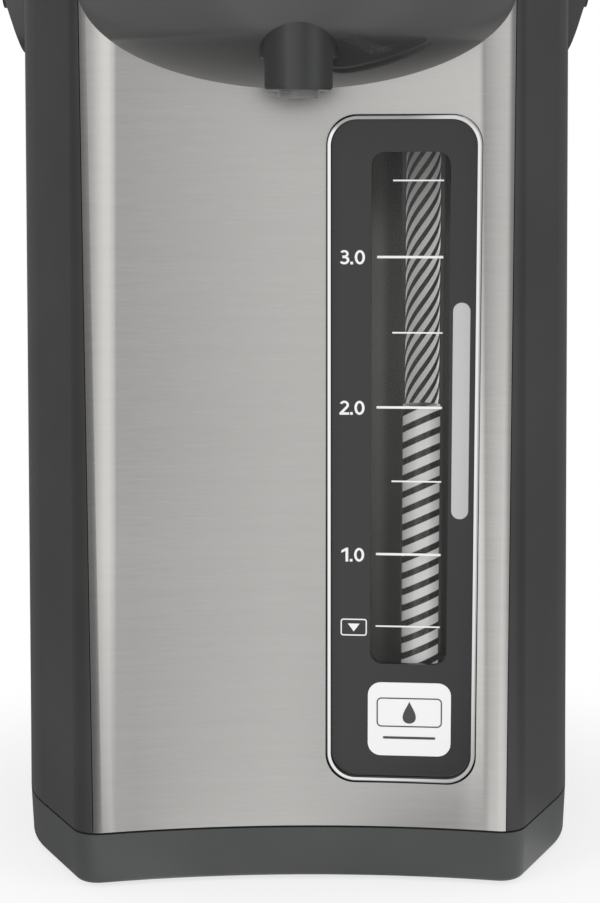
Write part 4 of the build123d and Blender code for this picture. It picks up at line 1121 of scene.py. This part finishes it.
# %% The room
world = bpy.data.worlds.new("room")
scene.world = world
world.use_nodes = True
room = world.node_tree
room.nodes.clear()
seen = room.nodes.new("ShaderNodeLightPath")
bright = seen.outputs["Is Camera Ray"]
for ray in ("Is Glossy Ray", "Is Transmission Ray"):
    either = room.nodes.new("ShaderNodeMath")
    either.operation = "MAXIMUM"
    room.links.new(bright, either.inputs[0])
    room.links.new(seen.outputs[ray], either.inputs[1])
    bright = either.outputs[0]
strength = room.nodes.new("ShaderNodeMapRange")
dull_strength = 0.75
strength.inputs["To Min"].default_value = dull_strength
strength.inputs["To Max"].default_value = 1.0
room.links.new(bright, strength.inputs["Value"])
background = room.nodes.new("ShaderNodeBackground")
background.inputs["Color"].default_value = (1, 1, 1, 1)
room.links.new(strength.outputs[0], background.inputs["Strength"])
world_output = room.nodes.new("ShaderNodeOutputWorld")
room.links.new(background.outputs[0], world_output.inputs[0])
print("nodes in the room:", len(room.nodes))

# %% [markdown]
# ## A wall of light
# Steel shows what stands round it. In a studio that would be cloths and screens; here it is one round wall
# that only shiny surfaces see. Its level goes by the bearing, in degrees from the front, and gives the
# steel its soft bands.


# %% A wall of light
def tent(radius, height, profile, steps=180):
    """A wall of light round the pot that only shiny surfaces see; its level depends on the bearing."""
    shape = bmesh.new()
    low = []
    for step in range(steps):
        turn = math.tau * step / steps
        low.append(shape.verts.new((radius * math.sin(turn), -radius * math.cos(turn), tent_foot)))
    high = [shape.verts.new((v.co.x, v.co.y, height)) for v in low]
    shape.faces.new(low)
    for step in range(steps):
        follow = (step + 1) % steps
        shape.faces.new((low[step], high[step], high[follow], low[follow]))
    mesh = bpy.data.meshes.new("tent")
    shape.to_mesh(mesh)
    shape.free()
    cloth = Finish("tent_cloth")
    x, y, _ = cloth.axes()
    bearing = x.math("ARCTAN2", -y) / math.pi * 0.5 + 0.5
    ramp = cloth.node("ShaderNodeValToRGB", None, {0: bearing})
    stops = ramp.socket.node.color_ramp.elements
    while len(stops) > 1:
        stops.remove(stops[0])
    for number, (degrees, level) in enumerate(profile):
        place = degrees / 360 + 0.5
        stop = stops[0] if number == 0 else stops.new(place)
        stop.position = place
        stop.color = (level / tent_gain, level / tent_gain, level / tent_gain, 1.0)
    glow = cloth.node("ShaderNodeEmission", None, {"Color": ramp, "Strength": tent_gain})
    cloth.tree.links.new(glow.socket, cloth.output.inputs[0])
    mesh.materials.append(cloth.material)
    wall = bpy.data.objects.new("tent", mesh)
    scene.collection.objects.link(wall)
    for ray in ("camera", "diffuse", "shadow", "transmission", "volume_scatter"):
        setattr(wall, "visible_" + ray, False)


tent_gain = 2.0
tent_foot = 0.3 * MM
tent_radius, tent_height = 0.9, 1.6
levels = (
    (-180, 0.8), (-165, 0.5), (-150, 0.2), (-75, 0.22), (-48, 0.22), (-38, 0.4), (-33, 0.9),
    (-28, 1.45), (-22, 1.3), (-16, 1.0), (-12, 1.15), (-7, 1.0), (0, 0.93), (6, 0.8), (11, 0.5),
    (22, 0.55), (30, 0.85), (42, 1.0), (54, 0.8), (61, 0.4), (80, 0.22), (150, 0.2), (165, 0.5), (179, 0.8),
)
tent(tent_radius, tent_height, levels)
print("levels in the wall of light:", len(levels))

# %% [markdown]
# ## Lamps
# Two broad lamps give the sides a direction, the left one stronger, as a window would.


# %% Lamps
def area_lamp(name, spot, aim, size, power):
    """A broad soft lamp pointed at a spot."""
    lamp = bpy.data.lights.new(name, "AREA")
    lamp.shape = "RECTANGLE"
    lamp.size, lamp.size_y = size
    lamp.energy = power
    holder = bpy.data.objects.new(name, lamp)
    holder.location = spot
    holder.rotation_euler = (Vector(aim) - Vector(spot)).to_track_quat("-Z", "Y").to_euler()
    scene.collection.objects.link(holder)
    return holder


middle = (0.0, 0.0, 0.16)
lamp_size = (0.9, 1.2)
area_lamp("left_window", (-1.3, -1.1, 1.1), middle, lamp_size, power=9.0)
area_lamp("right_window", (1.4, -0.7, 0.9), middle, lamp_size, power=5.0)
print("lamps:", len(bpy.data.lights))

# %% [markdown]
# ## Floor
# The floor is white and keeps the soft shadow at the foot of the pot. A little way off it begins to glow,
# and so fades into the room without an edge.

# %% Floor
floor_mesh = bpy.data.meshes.new("floor")
reach = 3.0
floor_mesh.from_pydata([(-reach, -reach, 0), (reach, -reach, 0), (reach, reach, 0), (-reach, reach, 0)], [],
                       [(0, 1, 2, 3)])
floor = bpy.data.objects.new("floor", floor_mesh)
scene.collection.objects.link(floor)
ground = Finish("white_floor", Roughness=0.9, Specular_IOR_Level=0.0)
ground.shader.inputs["Base Color"].default_value = (0.9, 0.9, 0.9, 1.0)
distance = ground.node("ShaderNodeVectorMath", {"operation": "LENGTH"}, {0: ground.place()}, out="Value")
near_glow = 0.72
fade_from, fade_to = 0.09, 0.20
away = distance.smooth(fade_from, fade_to) * (1.0 - near_glow) + near_glow
glow = ground.node("ShaderNodeEmission", None, {"Color": (1, 1, 1, 1), "Strength": 1.0})
mixed = ground.node("ShaderNodeMixShader", None, {0: away, 2: glow})
ground.tree.links.new(ground.shader.outputs[0], mixed.socket.node.inputs[1])
ground.tree.links.new(mixed.socket, ground.output.inputs[0])
floor_mesh.materials.append(ground.material)
print("floor", 2 * reach, "m wide")

# %% [markdown]
# ## Camera
# The camera stands a good half metre in front of the pot and looks slightly down. The lens is set from
# the focal length in pixels, so that the view keeps its scale.

# %% Camera
focal_pixels = 1914
picture_height = 903
sensor = 36.0
camera = bpy.data.cameras.new("camera")
camera.sensor_width = sensor
camera.lens = focal_pixels / picture_height * sensor
camera.clip_start = 0.01
viewer = bpy.data.objects.new("camera", camera)
viewer.location = (-4.0 * MM, -688.6 * MM, 236.6 * MM)
look_down, lean, turn = 8.89, 0.13, -0.442
viewer.rotation_euler = (math.radians(90 - look_down), math.radians(lean), math.radians(turn))
scene.collection.objects.link(viewer)
scene.camera = viewer
scene.view_settings.view_transform = "Standard"
print("lens", round(camera.lens, 2), "mm")
